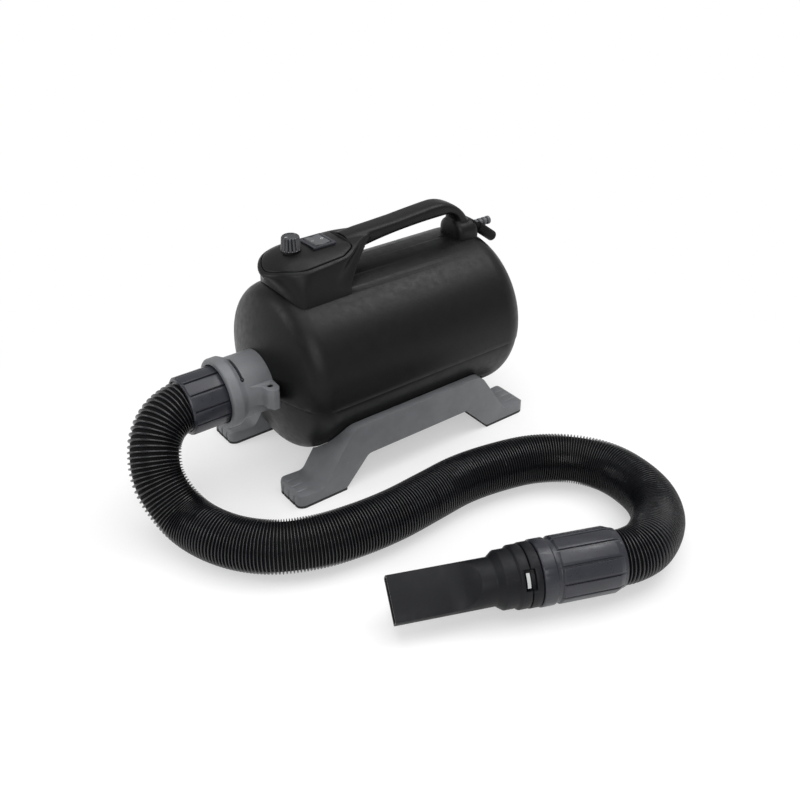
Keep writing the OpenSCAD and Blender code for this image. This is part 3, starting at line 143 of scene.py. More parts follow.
def close_edit(piece: bpy.types.Object) -> None:
    """Writes the edit mesh back and leaves edit mode."""
    bmesh.update_edit_mesh(piece.data)
    bpy.ops.object.mode_set(mode="OBJECT")


def settle(piece: bpy.types.Object) -> None:
    """Puts a piece's place into its mesh."""
    pick(piece)
    bpy.ops.object.transform_apply(location=True, rotation=True, scale=True)


def apply_modifiers(piece: bpy.types.Object) -> None:
    """Applies every modifier of a piece, in order.

    Args:
        piece: The piece.
    """
    pick(piece)
    for modifier in list(piece.modifiers):
        bpy.ops.object.modifier_apply(modifier=modifier.name)


def smooth(piece: bpy.types.Object, angle: float = 35.0) -> None:
    """Shades a piece smooth up to an angle between faces.

    Args:
        piece: The piece.
        angle: Largest angle in degrees that stays smooth.
    """
    pick(piece)
    bpy.ops.object.shade_smooth_by_angle(angle=math.radians(angle))


def copy_of(node: str, name: str, flat: float = 0.4) -> bpy.types.Object:
    """Copies a CAD node's mesh into a new piece and merges its loose triangles.

    Args:
        node: The CAD node.
        name: The new piece's name.
        flat: Largest angle in degrees between faces that become one.

    Returns:
        The piece.
    """
    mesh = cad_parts[node].data.copy()
    mesh.name = name
    mesh.materials.clear()
    piece = bpy.data.objects.new(name, mesh)
    bpy.context.scene.collection.objects.link(piece)
    edit(piece)
    bpy.ops.mesh.select_all(action="SELECT")
    bpy.ops.mesh.remove_doubles(threshold=WELD)
    bpy.ops.mesh.dissolve_limited(angle_limit=math.radians(flat))
    close_edit(piece)
    return piece


def round_edges(piece: bpy.types.Object, width: float, segments: int, angle: float) -> None:
    """Bevels a piece's sharp edges.

    Args:
        piece: The piece.
        width: Width of the bevel in millimetres.
        segments: Number of strips across it.
        angle: Edges sharper than this many degrees are bevelled.
    """
    bevel = piece.modifiers.new("edges", "BEVEL")
    bevel.width = width * MM
    bevel.segments = segments
    bevel.limit_method = "ANGLE"
    bevel.angle_limit = math.radians(angle)
    bevel.use_clamp_overlap = True
    bevel.miter_outer = "MITER_ARC"
    bevel.harden_normals = False
    apply_modifiers(piece)


def melt(piece: bpy.types.Object, voxel: float, rounds: int, factor: float = 0.5) -> None:
    """Fuses a piece's solids into one skin and softens it.

    Args:
        piece: The piece.
        voxel: Size of the remesh in millimetres.
        rounds: Number of smoothing rounds.
        factor: Strength of each round.
    """
    remesh = piece.modifiers.new("fuse", "REMESH")
    remesh.mode = "VOXEL"
    remesh.voxel_size = voxel * MM
    remesh.use_smooth_shade = True
    soft = piece.modifiers.new("soften", "SMOOTH")
    soft.factor = factor
    soft.iterations = rounds
    apply_modifiers(piece)


def carve(piece: bpy.types.Object, tool: bpy.types.Object, join: Join = Join.CUT) -> None:
    """Cuts a tool out of a piece, or joins it on, and throws the tool away.

    Args:
        piece: The piece.
        tool: The solid that is taken away or added.
        join: Whether it is taken away or added.
    """
    cut = piece.modifiers.new("cut", "BOOLEAN")
    cut.operation = join.value
    cut.object = tool
    cut.solver = "EXACT"
    apply_modifiers(piece)
    bpy.data.objects.remove(tool)


def open_ring(name: str, count: int) -> bpy.types.Object:
    """Adds a ring of edges without faces, as the start of a piece.

    Args:
        name: The piece's name.
        count: Number of points round it.

    Returns:
        The piece.
    """
    deselect()
    bpy.ops.mesh.primitive_circle_add(vertices=count, radius=1.0, fill_type="NOTHING")
    piece = bpy.context.object
    piece.name = piece.data.name = name
    return piece


def cap_ends() -> None:
    """Fills the open ends of the piece in edit mode and selects all of it."""
    bpy.ops.mesh.select_all(action="DESELECT")
    bpy.ops.mesh.select_non_manifold()
    bpy.ops.mesh.fill_holes(sides=0)
    bpy.ops.mesh.select_all(action="SELECT")


def loft(name: str, rings: Sequence[Ring]) -> bpy.types.Object:
    """Extrudes one ring of points through a row of stations and closes both ends.

    Args:
        name: The piece's name.
        rings: Rings of points in millimetres, all of one length.

    Returns:
        The closed piece.
    """
    piece = open_ring(name, len(rings[0]))
    mesh = edit(piece)
    mesh.verts.ensure_lookup_table()
    row = list(mesh.verts)
    for vertex, point in zip(row, rings[0]):
        vertex.co = Vector(point) * MM
    order = [vertex.index for vertex in row]
    for ring in rings[1:]:
        bpy.ops.mesh.extrude_edges_move()
        mesh = bmesh.from_edit_mesh(piece.data)
        mesh.verts.ensure_lookup_table()
        mesh.verts.index_update()
        ahead = {link.other_vert(vertex).index: vertex for vertex in mesh.verts if vertex.select
                 for link in vertex.link_edges if not link.other_vert(vertex).select}
        row = [ahead[index] for index in order]
        for vertex, point in zip(row, ring):
            vertex.co = Vector(point) * MM
        order = [vertex.index for vertex in row]
    cap_ends()
    bpy.ops.mesh.remove_doubles(threshold=TINY)
    bpy.ops.mesh.normals_make_consistent(inside=False)
    close_edit(piece)
    return piece


def revolve(name: str, profile: Sequence[Flat], steps: int, base: Matrix) -> bpy.types.Object:
    """Spins a profile round an axis.

    Args:
        name: The piece's name.
        profile: Radius and height of each point in millimetres; both ends on the axis close the piece,
            and otherwise the last point is joined to the first.
        steps: Number of steps round the axis.
        base: Turns local Z, the axis, and the origin to their place, in millimetres.

    Returns:
        The piece.
    """
    piece = open_ring(name, len(profile))
    mesh = edit(piece)
    mesh.verts.ensure_lookup_table()
    row = list(mesh.verts)
    for vertex, (radius, height) in zip(row, profile):
        vertex.co = Vector((radius, 0.0, height)) * MM
    if profile[0][0] == profile[-1][0] == 0:
        ends = {row[0], row[-1]}
        for link in [edge for edge in mesh.edges if set(edge.verts) == ends]:
            mesh.edges.remove(link)
    bmesh.update_edit_mesh(piece.data)
    bpy.ops.mesh.select_all(action="SELECT")
    bpy.ops.mesh.spin(steps=steps, angle=math.tau, center=(0, 0, 0), axis=(0, 0, 1))
    bpy.ops.mesh.select_all(action="SELECT")
    bpy.ops.mesh.remove_doubles(threshold=WELD)
    bpy.ops.mesh.normals_make_consistent(inside=False)
    close_edit(piece)
    shift = base.copy()
    shift.translation = shift.translation * MM
    piece.matrix_world = shift
    settle(piece)
    return piece


def rod(radius: float, low: float, high: float) -> list[Flat]:
    """Lists the profile of a plain rod between two heights."""
    return [(0, low), (radius, low), (radius, high), (0, high)]


def along(base: Point, way: Point, up: Point = (0.0, 0.0, 1.0)) -> Matrix:
    """Gives the frame whose Z runs along a direction.

    Args:
        base: Origin in millimetres.
        way: Direction of local Z.
        up: Direction that local X stays close to.

    Returns:
        The frame.
    """
    z = Vector(way).normalized()
    x = Vector(up) - z * z.dot(Vector(up))
    x = x.normalized() if x.length > TINY else Vector((1, 0, 0))
    y = z.cross(x)
    turn = Matrix((x, y, z)).transposed().to_4x4()
    turn.translation = Vector(base)
    return turn


def heading(yaw: float) -> Vector:
    """Gives the level direction at an angle from X, in degrees."""
    return Vector((math.cos(math.radians(yaw)), math.sin(math.radians(yaw)), 0.0))


def ease(t: float) -> float:
    """Gives a smooth step from 0 to 1."""
    t = min(1.0, max(0.0, t))
    return t * t * (3 - 2 * t)


def between(rows: Sequence[Flat], at: float) -> float:
    """Reads a value off a table, straight between its rows.

    Args:
        rows: Place and value of each row, in order.
        at: The place.

    Returns:
        The value.
    """
    for (start, low), (end, high) in zip(rows, rows[1:]):
        if at <= end:
            return low + (high - low) * (at - start) / (end - start)
    return rows[-1][1]


def power_sin(angle: float, power: float) -> float:
    """Raises a sine to a power and keeps its sign.

    Args:
        angle: Angle in degrees.
        power: The power.

    Returns:
        The value.
    """
    value = math.sin(math.radians(angle))
    return math.copysign(abs(value) ** power, value)


def fillet(points: Sequence[Point], steps: int = 8, straight: float = 179.0) -> list[Flat]:
    """Rounds the corners of an outline.

    Args:
        points: X, Y and corner radius of each point, in millimetres.
        steps: Number of steps round a corner.
        straight: A corner wider than this many degrees stays a point.

    Returns:
        The rounded outline.
    """
    out: list[Flat] = []
    for i, (x, y, radius) in enumerate(points):
        here = Vector((x, y))
        a = Vector(points[i - 1][:2]) - here
        c = Vector(points[(i + 1) % len(points)][:2]) - here
        if radius <= 0 or a.length < TINY or c.length < TINY:
            out.append((x, y))
            continue
        a.normalize()
        c.normalize()
        half = math.acos(max(-1.0, min(1.0, a.dot(c)))) / 2
        if half > math.radians(straight / 2):
            out.append((x, y))
            continue
        centre = here + (a + c).normalized() * radius / math.sin(half)
        first = here + a * radius / math.tan(half) - centre
        last = here + c * radius / math.tan(half) - centre
        sweep = math.atan2(first.x * last.y - first.y * last.x, first.dot(last))
        for k in range(steps + 1):
            turn = sweep * k / steps
            out.append((centre.x + first.x * math.cos(turn) - first.y * math.sin(turn),
                        centre.y + first.x * math.sin(turn) + first.y * math.cos(turn)))
    return out


# ------------------------------------------------------------------ finishes


@dataclass(frozen=True)
class Finish:
    """A procedural surface: a tone with mottling, a fine relief and an uneven gloss."""

    slot: Slot
    colour: Point
    roughness: float
    spread: float = 0.06
    mottle: float = 0.12
    mottle_size: float = 60.0
    grain: float = 1400.0
    relief: float = 0.08
    depth: float = 0.00008
    metallic: float = 0.0
    coat: float = 0.0
    coat_roughness: float = 0.3
    specular: float = 0.5

    # The part of a noise's values that is used
    NOISE_RANGE = (0.3, 0.7)
    # Octaves of each noise, and the gloss's scale against the mottling's
    MOTTLE_DETAIL = 3.0
    GRAIN_DETAIL = 2.0
    GLOSS_DETAIL = 4.0
    GLOSS_SCALE = 2.3

    def nodes(self) -> tuple[bpy.types.Material, bpy.types.NodeTree, bpy.types.Node]:
        """Makes an empty material.

        Returns:
            The material, its node tree and its surface shader.
        """
        material = bpy.data.materials.new(self.slot.value)
        material.use_nodes = True
        tree = material.node_tree
        tree.nodes.clear()
        output = tree.nodes.new("ShaderNodeOutputMaterial")
        shader = tree.nodes.new("ShaderNodeBsdfPrincipled")
        for name, value in (("Metallic", self.metallic), ("Coat Weight", self.coat),
                            ("Coat Roughness", self.coat_roughness), ("Specular IOR Level", self.specular)):
            shader.inputs[name].default_value = value
        tree.links.new(shader.outputs[0], output.inputs[0])
        return material, tree, shader

    def noise(self, tree: bpy.types.NodeTree, scale: float, detail: float) -> bpy.types.NodeSocket:
        """Adds a noise on object coordinates.

        Args:
            tree: The node tree.
            scale: Scale of the noise per metre.
            detail: Number of octaves.

        Returns:
            The noise's socket.
        """
        place = tree.nodes.new("ShaderNodeTexCoord")
        noise = tree.nodes.new("ShaderNodeTexNoise")
        noise.inputs["Scale"].default_value = scale
        noise.inputs["Detail"].default_value = detail
        tree.links.new(place.outputs["Object"], noise.inputs["Vector"])
        return noise.outputs["Fac"]

    def span(self, tree: bpy.types.NodeTree, source: bpy.types.NodeSocket,
             to: Flat) -> bpy.types.NodeSocket:
        """Maps a noise to a range.

        Args:
            tree: The node tree.
            source: The value to map.
            to: Values at the noise's low and high end.

        Returns:
            The mapped value's socket.
        """
        ramp = tree.nodes.new("ShaderNodeMapRange")
        for side, start, end in zip(("Min", "Max"), self.NOISE_RANGE, to):
            ramp.inputs["From " + side].default_value = start
            ramp.inputs["To " + side].default_value = end
        tree.links.new(source, ramp.inputs["Value"])
        return ramp.outputs["Result"]

    def tones(self, tree: bpy.types.NodeTree) -> bpy.types.NodeSocket:
        """Mixes the colour's darker and lighter tone.

        Args:
            tree: The node tree.

        Returns:
            The colour's socket.
        """
        mix = tree.nodes.new("ShaderNodeMix")
        mix.data_type = "RGBA"
        cloud = self.noise(tree, self.mottle_size, self.MOTTLE_DETAIL)
        tree.links.new(self.span(tree, cloud, (0.0, 1.0)), mix.inputs["Factor"])
        for name, scale in (("A", 1 - self.mottle), ("B", 1 + self.mottle)):
            socket = [s for s in mix.inputs if s.name == name and s.type == "RGBA"][0]
            socket.default_value = (*[min(1.0, c * scale) for c in self.colour], 1.0)
        return [s for s in mix.outputs if s.type == "RGBA"][0]

    def relief_of(self, tree: bpy.types.NodeTree) -> bpy.types.NodeSocket:
        """Adds the fine relief.

        Args:
            tree: The node tree.

        Returns:
            The normal's socket.
        """
        bump = tree.nodes.new("ShaderNodeBump")
        bump.inputs["Strength"].default_value = self.relief
        bump.inputs["Distance"].default_value = self.depth
        tree.links.new(self.noise(tree, self.grain, self.GRAIN_DETAIL), bump.inputs["Height"])
        return bump.outputs["Normal"]

    def material(self) -> bpy.types.Material:
        """Builds the finish.

        Returns:
            Its material.
        """
        material, tree, shader = self.nodes()
        tree.links.new(self.tones(tree), shader.inputs["Base Color"])
        gloss = self.noise(tree, self.mottle_size * self.GLOSS_SCALE, self.GLOSS_DETAIL)
        rough = self.span(tree, gloss, (self.roughness - self.spread, self.roughness + self.spread))
        tree.links.new(rough, shader.inputs["Roughness"])
        tree.links.new(self.relief_of(tree), shader.inputs["Normal"])
        return material


class Paintbox:
    """Every finish of the dryer, made once and handed out by slot."""

    FINISHES = (
        Finish(Slot.HOUSING, (0.004, 0.004, 0.0044), 0.4, relief=0.2, grain=2600.0, specular=0.22),
        Finish(Slot.GREY, (0.145, 0.15, 0.158), 0.46, relief=0.3, grain=1900.0, mottle=0.08, specular=0.4),
        Finish(Slot.CUFF, (0.017, 0.018, 0.025), 0.32, relief=0.15, grain=1500.0, specular=0.5),
        Finish(Slot.HOSE, (0.006, 0.0063, 0.0082), 0.28, relief=0.1, grain=900.0, specular=0.55),
        # Painted shade in the hose's grooves, darker and duller than the crests
        Finish(Slot.GROOVE, (0.0016, 0.0016, 0.002), 0.7, relief=0.05, specular=0.12),
        Finish(Slot.NOZZLE, (0.0056, 0.0059, 0.0076), 0.46, relief=0.12, grain=1700.0, specular=0.2),
        Finish(Slot.KNOB, (0.013, 0.014, 0.018), 0.22, relief=0.08, grain=1500.0, specular=0.8),
        # The sleeve's grey; on the rocker this lighter tone is painted reflection of the rocker's gloss
        Finish(Slot.SLEEVE, (0.075, 0.077, 0.083), 0.45, relief=0.2, grain=1200.0),
        Finish(Slot.RUBBER, (0.022, 0.022, 0.023), 0.8, relief=0.5, grain=700.0),
        Finish(Slot.STEEL, (0.5, 0.5, 0.52), 0.32, metallic=1.0, relief=0.06, grain=900.0),
        Finish(Slot.SHEET, (0.6, 0.61, 0.62), 0.4, metallic=1.0, relief=0.1, grain=500.0),
        Finish(Slot.CORE, (0.3, 0.29, 0.28), 0.5, metallic=1.0, relief=0.2, grain=800.0),
        Finish(Slot.COPPER, (0.55, 0.22, 0.09), 0.35, metallic=1.0, relief=0.1, grain=900.0),
        Finish(Slot.BRASS, (0.6, 0.43, 0.17), 0.35, metallic=1.0, relief=0.1, grain=900.0),
        Finish(Slot.CARBON, (0.02, 0.02, 0.021), 0.6, relief=0.3, grain=1600.0),
        Finish(Slot.INNER_PLASTIC, (0.002, 0.002, 0.0021), 0.55, relief=0.2, grain=1200.0, specular=0.12),
        Finish(Slot.FOAM, (0.045, 0.045, 0.047), 0.95, relief=1.0, grain=420.0, depth=0.0012),
        Finish(Slot.CERAMIC, (0.62, 0.58, 0.5), 0.7, relief=0.3, grain=700.0),
        Finish(Slot.WIRE, (0.42, 0.36, 0.31), 0.4, metallic=1.0, relief=0.1, grain=900.0),
        Finish(Slot.BOARD, (0.02, 0.11, 0.05), 0.35, relief=0.1, grain=1200.0, coat=0.4),
        Finish(Slot.MARK, (0.45, 0.46, 0.46), 0.5, relief=0.05),
    )

    # The slot of what a printed mark lies on
    PRINTED_ON = {Slot.MARK: Slot.KNOB}
    WORN_BY = {
        Slot.HOUSING: ("upper_housing", "lower_housing", "top_handle", "control_panel"),
        Slot.GREY: ("outlet_collar", "left_skid", "right_skid"),
        Slot.CUFF: ("hose_cuff", "handgrip", "switch_frame"),
        Slot.HOSE: ("hose",),
        Slot.NOZZLE: ("nozzle", "lock_ring"),
        Slot.KNOB: ("speed_knob",),
        # The rocker wears the sleeve's lighter grey as painted reflection of its glossy face
        Slot.SLEEVE: ("cable_sleeve", "switch_rocker"),
        Slot.RUBBER: ("rubber_soles", "motor_seal", "front_mount"),
        Slot.STEEL: ("control_shaft", "skid_screws", "housing_screws", "handle_screws", "grille_screws",
                     "motor_shaft", "motor_bearings"),
        Slot.SHEET: ("potentiometer", "fan_casing", "fan_wheel", "motor_frame", "heater_plate"),
        Slot.CORE: ("stator",),
        Slot.COPPER: ("armature", "commutator"),
        Slot.BRASS: ("brush_holders",),
        Slot.CARBON: ("carbon_brushes",),
        Slot.INNER_PLASTIC: ("fuse_cap", "intake_grille", "motor_bulkhead"),
        Slot.FOAM: ("filter_foam",),
        Slot.CERAMIC: ("heater_former",),
        Slot.WIRE: ("heater_wire",),
        Slot.BOARD: ("speed_board",),
    }
    NODE_SLOTS = {node: slot for slot, nodes in WORN_BY.items() for node in nodes}

    def __init__(self) -> None:
        """Builds every finish."""
        self.made = {finish.slot: finish.material() for finish in self.FINISHES}

    def dress(self, piece: bpy.types.Object, slot: Slot) -> None:
        """Gives a piece one finish all over.

        Args:
            piece: The piece.
            slot: The finish's slot.
        """
        if piece.data.materials:
            for index in range(len(piece.data.materials)):
                piece.data.materials[index] = self.made[slot]
        else:
            piece.data.materials.append(self.made[slot])

    def dress_nodes(self) -> None:
        """Gives every CAD node its finish."""
        for node, slot in self.NODE_SLOTS.items():
            self.dress(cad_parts[node], slot)


def hand_over(piece: bpy.types.Object, body: Body, slot: Slot, paint: Paintbox,
              *nodes: str) -> bpy.types.Object:
    """Finishes a piece: dresses it in its slot's finish, hangs it on its body and hides the CAD nodes that
    it replaces.

    Args:
        piece: The piece.
        body: The body that it rides on.
        slot: Its finish.
        paint: The finishes.
        nodes: CAD nodes that it replaces.

    Returns:
        The piece.
    """
    paint.dress(piece, slot)
    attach(piece, body.value)
    if nodes:
        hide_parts(*nodes)
    log.info("%s: %d faces on %s", piece.name, len(piece.data.polygons), body.value)
    return piece


# ------------------------------------------------------------------ hose


@dataclass
class RibbedHose:
    """The hose from the outlet's cuff to the handgrip, lying on the floor."""

    diameter: float = 52.0
    rib_height: float = 2.5
    ribs: int = 282
    sides: int = 36
    outlet: Point = (0.0, -220.97, OUTLET_H)
    insert: float = 48.0
    grip_insert: float = 42.0
    lead: float = 14.0
    steps: int = 10
    crease: float = 60.0
    made: bpy.types.Object | None = None

    # Share of the hose's length, and how far apart the ribs stand there against each other
    GATHER = ((0.0, 4.0), (0.07, 4.7), (0.15, 4.6), (0.22, 3.6), (0.28, 3.2), (0.74, 3.2), (1.0, 3.2))
    # Share of the pitch, and share of the rib's height
    RIB = ((0.24, 0.0), (0.36, 0.84), (0.44, 1.0), (0.6, 1.0), (0.68, 0.84), (0.8, 0.0), (1.0, 0.0))
    # Number of steps in which the ribs' spacing is summed
    SUM_STEPS = 400
    # Points of two ribs nearer than this, in metres, become one
    RIB_WELD = 1e-5

    def route(self) -> list[Vector]:
        """Lists the points that the hose follows, in millimetres.

        Returns:
            The points.
        """
        low = self.diameter / 2
        end_y, top = self.outlet[1], self.outlet[2]
        # The first bend's points stand for a cuff that ends at y -221, and move with its end
        shift = end_y + 221
        way, grip = heading(GRIP_YAW), Vector(GRIP)
        rows = [(0, end_y + self.insert, top), (0, end_y + 20.5, top), (0, end_y - 2.5, top),
                (6, shift - 245.5, top - 7), (18, shift - 261.5, top - 23), (38, shift - 268.5, 57),
                (71, shift - 259.5, low + 4), (116, shift / 2 - 242.5, low), (151, -213.5, low),
                (171, -174.5, low), (180, -132.5, low), (183, -90.5, low), (181, -47.5, low),
                (179, -3.5, low), (185, 39.5, low), (198, 81.5, low), (224, 116.5, low),
                (262, 135.5, low), (309, 132.5, low), (343, 111.5, low), (365, 72.5, low + 5)]
        reaches = (self.lead, -self.lead, -(self.grip_insert - self.lead), -self.grip_insert)
        return [Vector(row) for row in rows] + [grip + way * reach for reach in reaches]

    def centres(self) -> list[Vector]:
        """Runs a smooth curve through the route.

        Returns:
            The centres along the hose, in metres.
        """
        points = self.route()
        points = [2 * points[0] - points[1]] + points + [2 * points[-1] - points[-2]]
        path: list[Vector] = []
        for i in range(1, len(points) - 2):
            a, b, c, d = points[i - 1:i + 3]
            for k in range(self.steps):
                t = k / self.steps
                path.append((2 * b + (c - a) * t + (2 * a - 5 * b + 4 * c - d) * t * t
                             + (3 * b - a - 3 * c + d) * t ** 3) / 2)
        path.append(points[-2])
        return [point * MM for point in path]

    def length(self) -> float:
        """Measures the hose along its middle, in metres."""
        path = self.centres()
        return sum((b - a).length for a, b in zip(path, path[1:]))

    def spacing(self, pitch: float) -> Callable[[float], float]:
        """Gives the place along the hose of a point in an evenly ribbed one.

        The ribs stand apart where the hose is stretched and close together where it is slack.

        Args:
            pitch: Even distance between ribs in metres.

        Returns:
            The function from even to real place.
        """
        length = self.length()
        count = [0.0]
        for k in range(self.SUM_STEPS):
            count.append(count[-1] + 1 / between(self.GATHER, (k + 0.5) / self.SUM_STEPS))
        scale = length / pitch / count[-1]
        even = [c * scale * pitch for c in count]

        def place(x: float) -> float:
            """Finds the step that holds an even place and reads the real place off it.

            Args:
                x: Place along the evenly ribbed hose, in metres.

            Returns:
                Place along the real one.
            """
            if x <= 0 or x >= length:
                return min(max(x, 0.0), length)
            low, high = 0, self.SUM_STEPS
            while high - low > 1:
                middle = (low + high) // 2
                low, high = (middle, high) if even[middle] <= x else (low, middle)
            return length / self.SUM_STEPS * (low + (x - even[low]) / (even[high] - even[low]))

        return place

    def rib(self, pitch: float) -> bpy.types.Object:
        """Extrudes one rib and its groove along X, with the groove's faces in a darker slot of their own,
        which paints the shade in the groove.

        Args:
            pitch: Length of the rib with its groove, in metres.

        Returns:
            The rib.
        """
        radius, rise = self.diameter / 2 * MM, self.rib_height * MM
        deselect()
        bpy.ops.mesh.primitive_circle_add(vertices=self.sides, radius=radius - rise,
                                          rotation=(0, math.pi / 2, 0), fill_type="NOTHING")
        rib = bpy.context.object
        rib.name = rib.data.name = "ribbed_hose"
        settle(rib)
        edit(rib)
        bpy.ops.mesh.select_all(action="SELECT")
        before, at = radius - rise, 0.0
        for share, height in self.RIB:
            after = radius - rise * (1 - height)
            bpy.ops.mesh.extrude_edges_move(TRANSFORM_OT_translate={"value": ((share - at) * pitch, 0, 0)})
            bpy.ops.transform.resize(value=(1, after / before, after / before), center_override=(0, 0, 0))
            before, at = after, share
        close_edit(rib)
        for _ in (Slot.HOSE, Slot.GROOVE):
            rib.data.materials.append(None)
        mesh = edit(rib)
        for face in mesh.faces:
            outermost = max(math.hypot(vertex.co.y, vertex.co.z) for vertex in face.verts)
            # Faces deep in a groove take the second slot, the painted groove shade
            face.material_index = int(outermost < radius - rise / 2)
        close_edit(rib)
        return rib

    def repeat(self, hose: bpy.types.Object, pitch: float) -> None:
        """Repeats the rib and spaces the ribs.

        Args:
            hose: The hose, so far one rib.
            pitch: Even distance between ribs in metres.
        """
        row = hose.modifiers.new("ribs", "ARRAY")
        row.count = self.ribs
        row.use_relative_offset = False
        row.use_constant_offset = True
        row.constant_offset_displace = (pitch, 0, 0)
        row.use_merge_vertices = True
        row.merge_threshold = self.RIB_WELD
        apply_modifiers(hose)
        place = self.spacing(pitch)
        mesh = edit(hose)
        for vertex in mesh.verts:
            vertex.co.x = place(vertex.co.x)
        close_edit(hose)

    def lay(self, hose: bpy.types.Object) -> None:
        """Bends the straight hose along its route.

        Args:
            hose: The hose.
        """
        path = self.centres()
        data = bpy.data.curves.new("route", "CURVE")
        data.dimensions = "3D"
        data.twist_mode = "MINIMUM"
        spline = data.splines.new("POLY")
        spline.points.add(len(path) - 1)
        for point, place in zip(spline.points, path):
            point.co = (*place, 1.0)
        guide = bpy.data.objects.new("route", data)
        bpy.context.scene.collection.objects.link(guide)
        bend = hose.modifiers.new("lay", "CURVE")
        bend.object = guide
        bend.deform_axis = "POS_X"
        apply_modifiers(hose)
        bpy.data.objects.remove(guide)

    def build(self) -> bpy.types.Object:
        """Makes the hose from one rib and closes its ends.

        Returns:
            The hose.
        """
        pitch = self.length() / self.ribs
        hose = self.rib(pitch)
        self.repeat(hose, pitch)
        self.lay(hose)
        edit(hose)
        cap_ends()
        bpy.ops.mesh.normals_make_consistent(inside=False)
        close_edit(hose)
        smooth(hose, self.crease)
        self.made = hose
        return hose

    def declare(self, paint: Paintbox) -> None:
        """Hands the hose over on the dryer's body and puts the painted groove shade in its second slot.

        Args:
            paint: The finishes.
        """
        path = self.centres()
        hand_over(self.made, Body.DRYER, Slot.HOSE, paint, "hose")
        # The second slot holds the painted shade of the grooves
        self.made.data.materials[1] = paint.made[Slot.GROOVE]
        self.length()


# ------------------------------------------------------------------ rigid pieces


@dataclass
class Moulding:
    """A CAD node kept in shape, with its edges rounded as a moulding's are."""

    node: str
    body: Body
    edge: float = 0.5
    segments: int = 2
    angle: float = 32.0

    def rounded(self) -> bpy.types.Object:
        """Copies the node and rounds its edges.

        Returns:
            The piece.
        """
        piece = copy_of(self.node, self.node + "_moulded")
        round_edges(piece, self.edge, self.segments, self.angle)
        return piece

    def build(self, paint: Paintbox) -> bpy.types.Object:
        """Makes the piece and hands it over.

        Args:
            paint: The finishes.

        Returns:
            The piece.
        """
        piece = self.rounded()
        smooth(piece)
        return hand_over(piece, self.body, paint.NODE_SLOTS[self.node], paint, self.node)


@dataclass
class OutletCollar(Moulding):
    """The grey collar with its two bayonet slits and the hole in its ear."""

    slit_y: float = -163.5
    slit: Flat = (42.5, 94.0)
    half_width: float = 1.7
    reach: Flat = (28.5, 41.0)
    end_r: float = 2.5
    hole: Point = (40.0, -140.6, 123.0)
    hole_r: float = 3.1
    hole_span: Flat = (-9.0, 4.0)
    shade_span: Flat = (-8.8, -1.0)
    shade_gap: float = 0.1

    STEPS = 20
    TURNS = 32

    def slit_rings(self, first: float, last: float) -> list[Ring]:
        """Lists the rings of the cutter for one slit.

        Args:
            first: Angle of the slit's start, in radians.
            last: Angle of its end.

        Returns:
            The rings.
        """
        low, high = self.reach
        w = self.half_width
        angles = [first + (last - first) * k / self.STEPS for k in range(self.STEPS + 1)]
        return [[(r * math.cos(angle), self.slit_y + side, OUTLET_H + r * math.sin(angle))
                 for r, side in ((low, -w), (high, -w), (high, w), (low, w))] for angle in angles]

    def build(self, paint: Paintbox) -> bpy.types.Object:
        """Rounds the collar, opens the slits, drills the ear and darkens the hole's depth.

        Args:
            paint: The finishes.

        Returns:
            The collar.
        """
        collar = self.rounded()
        for turn in (0, 180):
            first, last = (math.radians(angle + turn) for angle in self.slit)
            carve(collar, loft("slit", self.slit_rings(first, last)))
            end = along((0, self.slit_y, OUTLET_H), (math.cos(first), 0, math.sin(first)))
            carve(collar, revolve("slit_end", rod(self.end_r, *self.reach), self.TURNS, end))
        way = along(self.hole, (0, 0, 1))
        carve(collar, revolve("ear_hole", rod(self.hole_r, *self.hole_span), self.TURNS, way))
        smooth(collar)
        shade = revolve("ear_shade", rod(self.hole_r - self.shade_gap, *self.shade_span), self.TURNS, way)
        hand_over(shade, Body.DRYER, Slot.INNER_PLASTIC, paint)
        return hand_over(collar, self.body, paint.NODE_SLOTS[self.node], paint, self.node)


# ------------------------------------------------------------------ handle


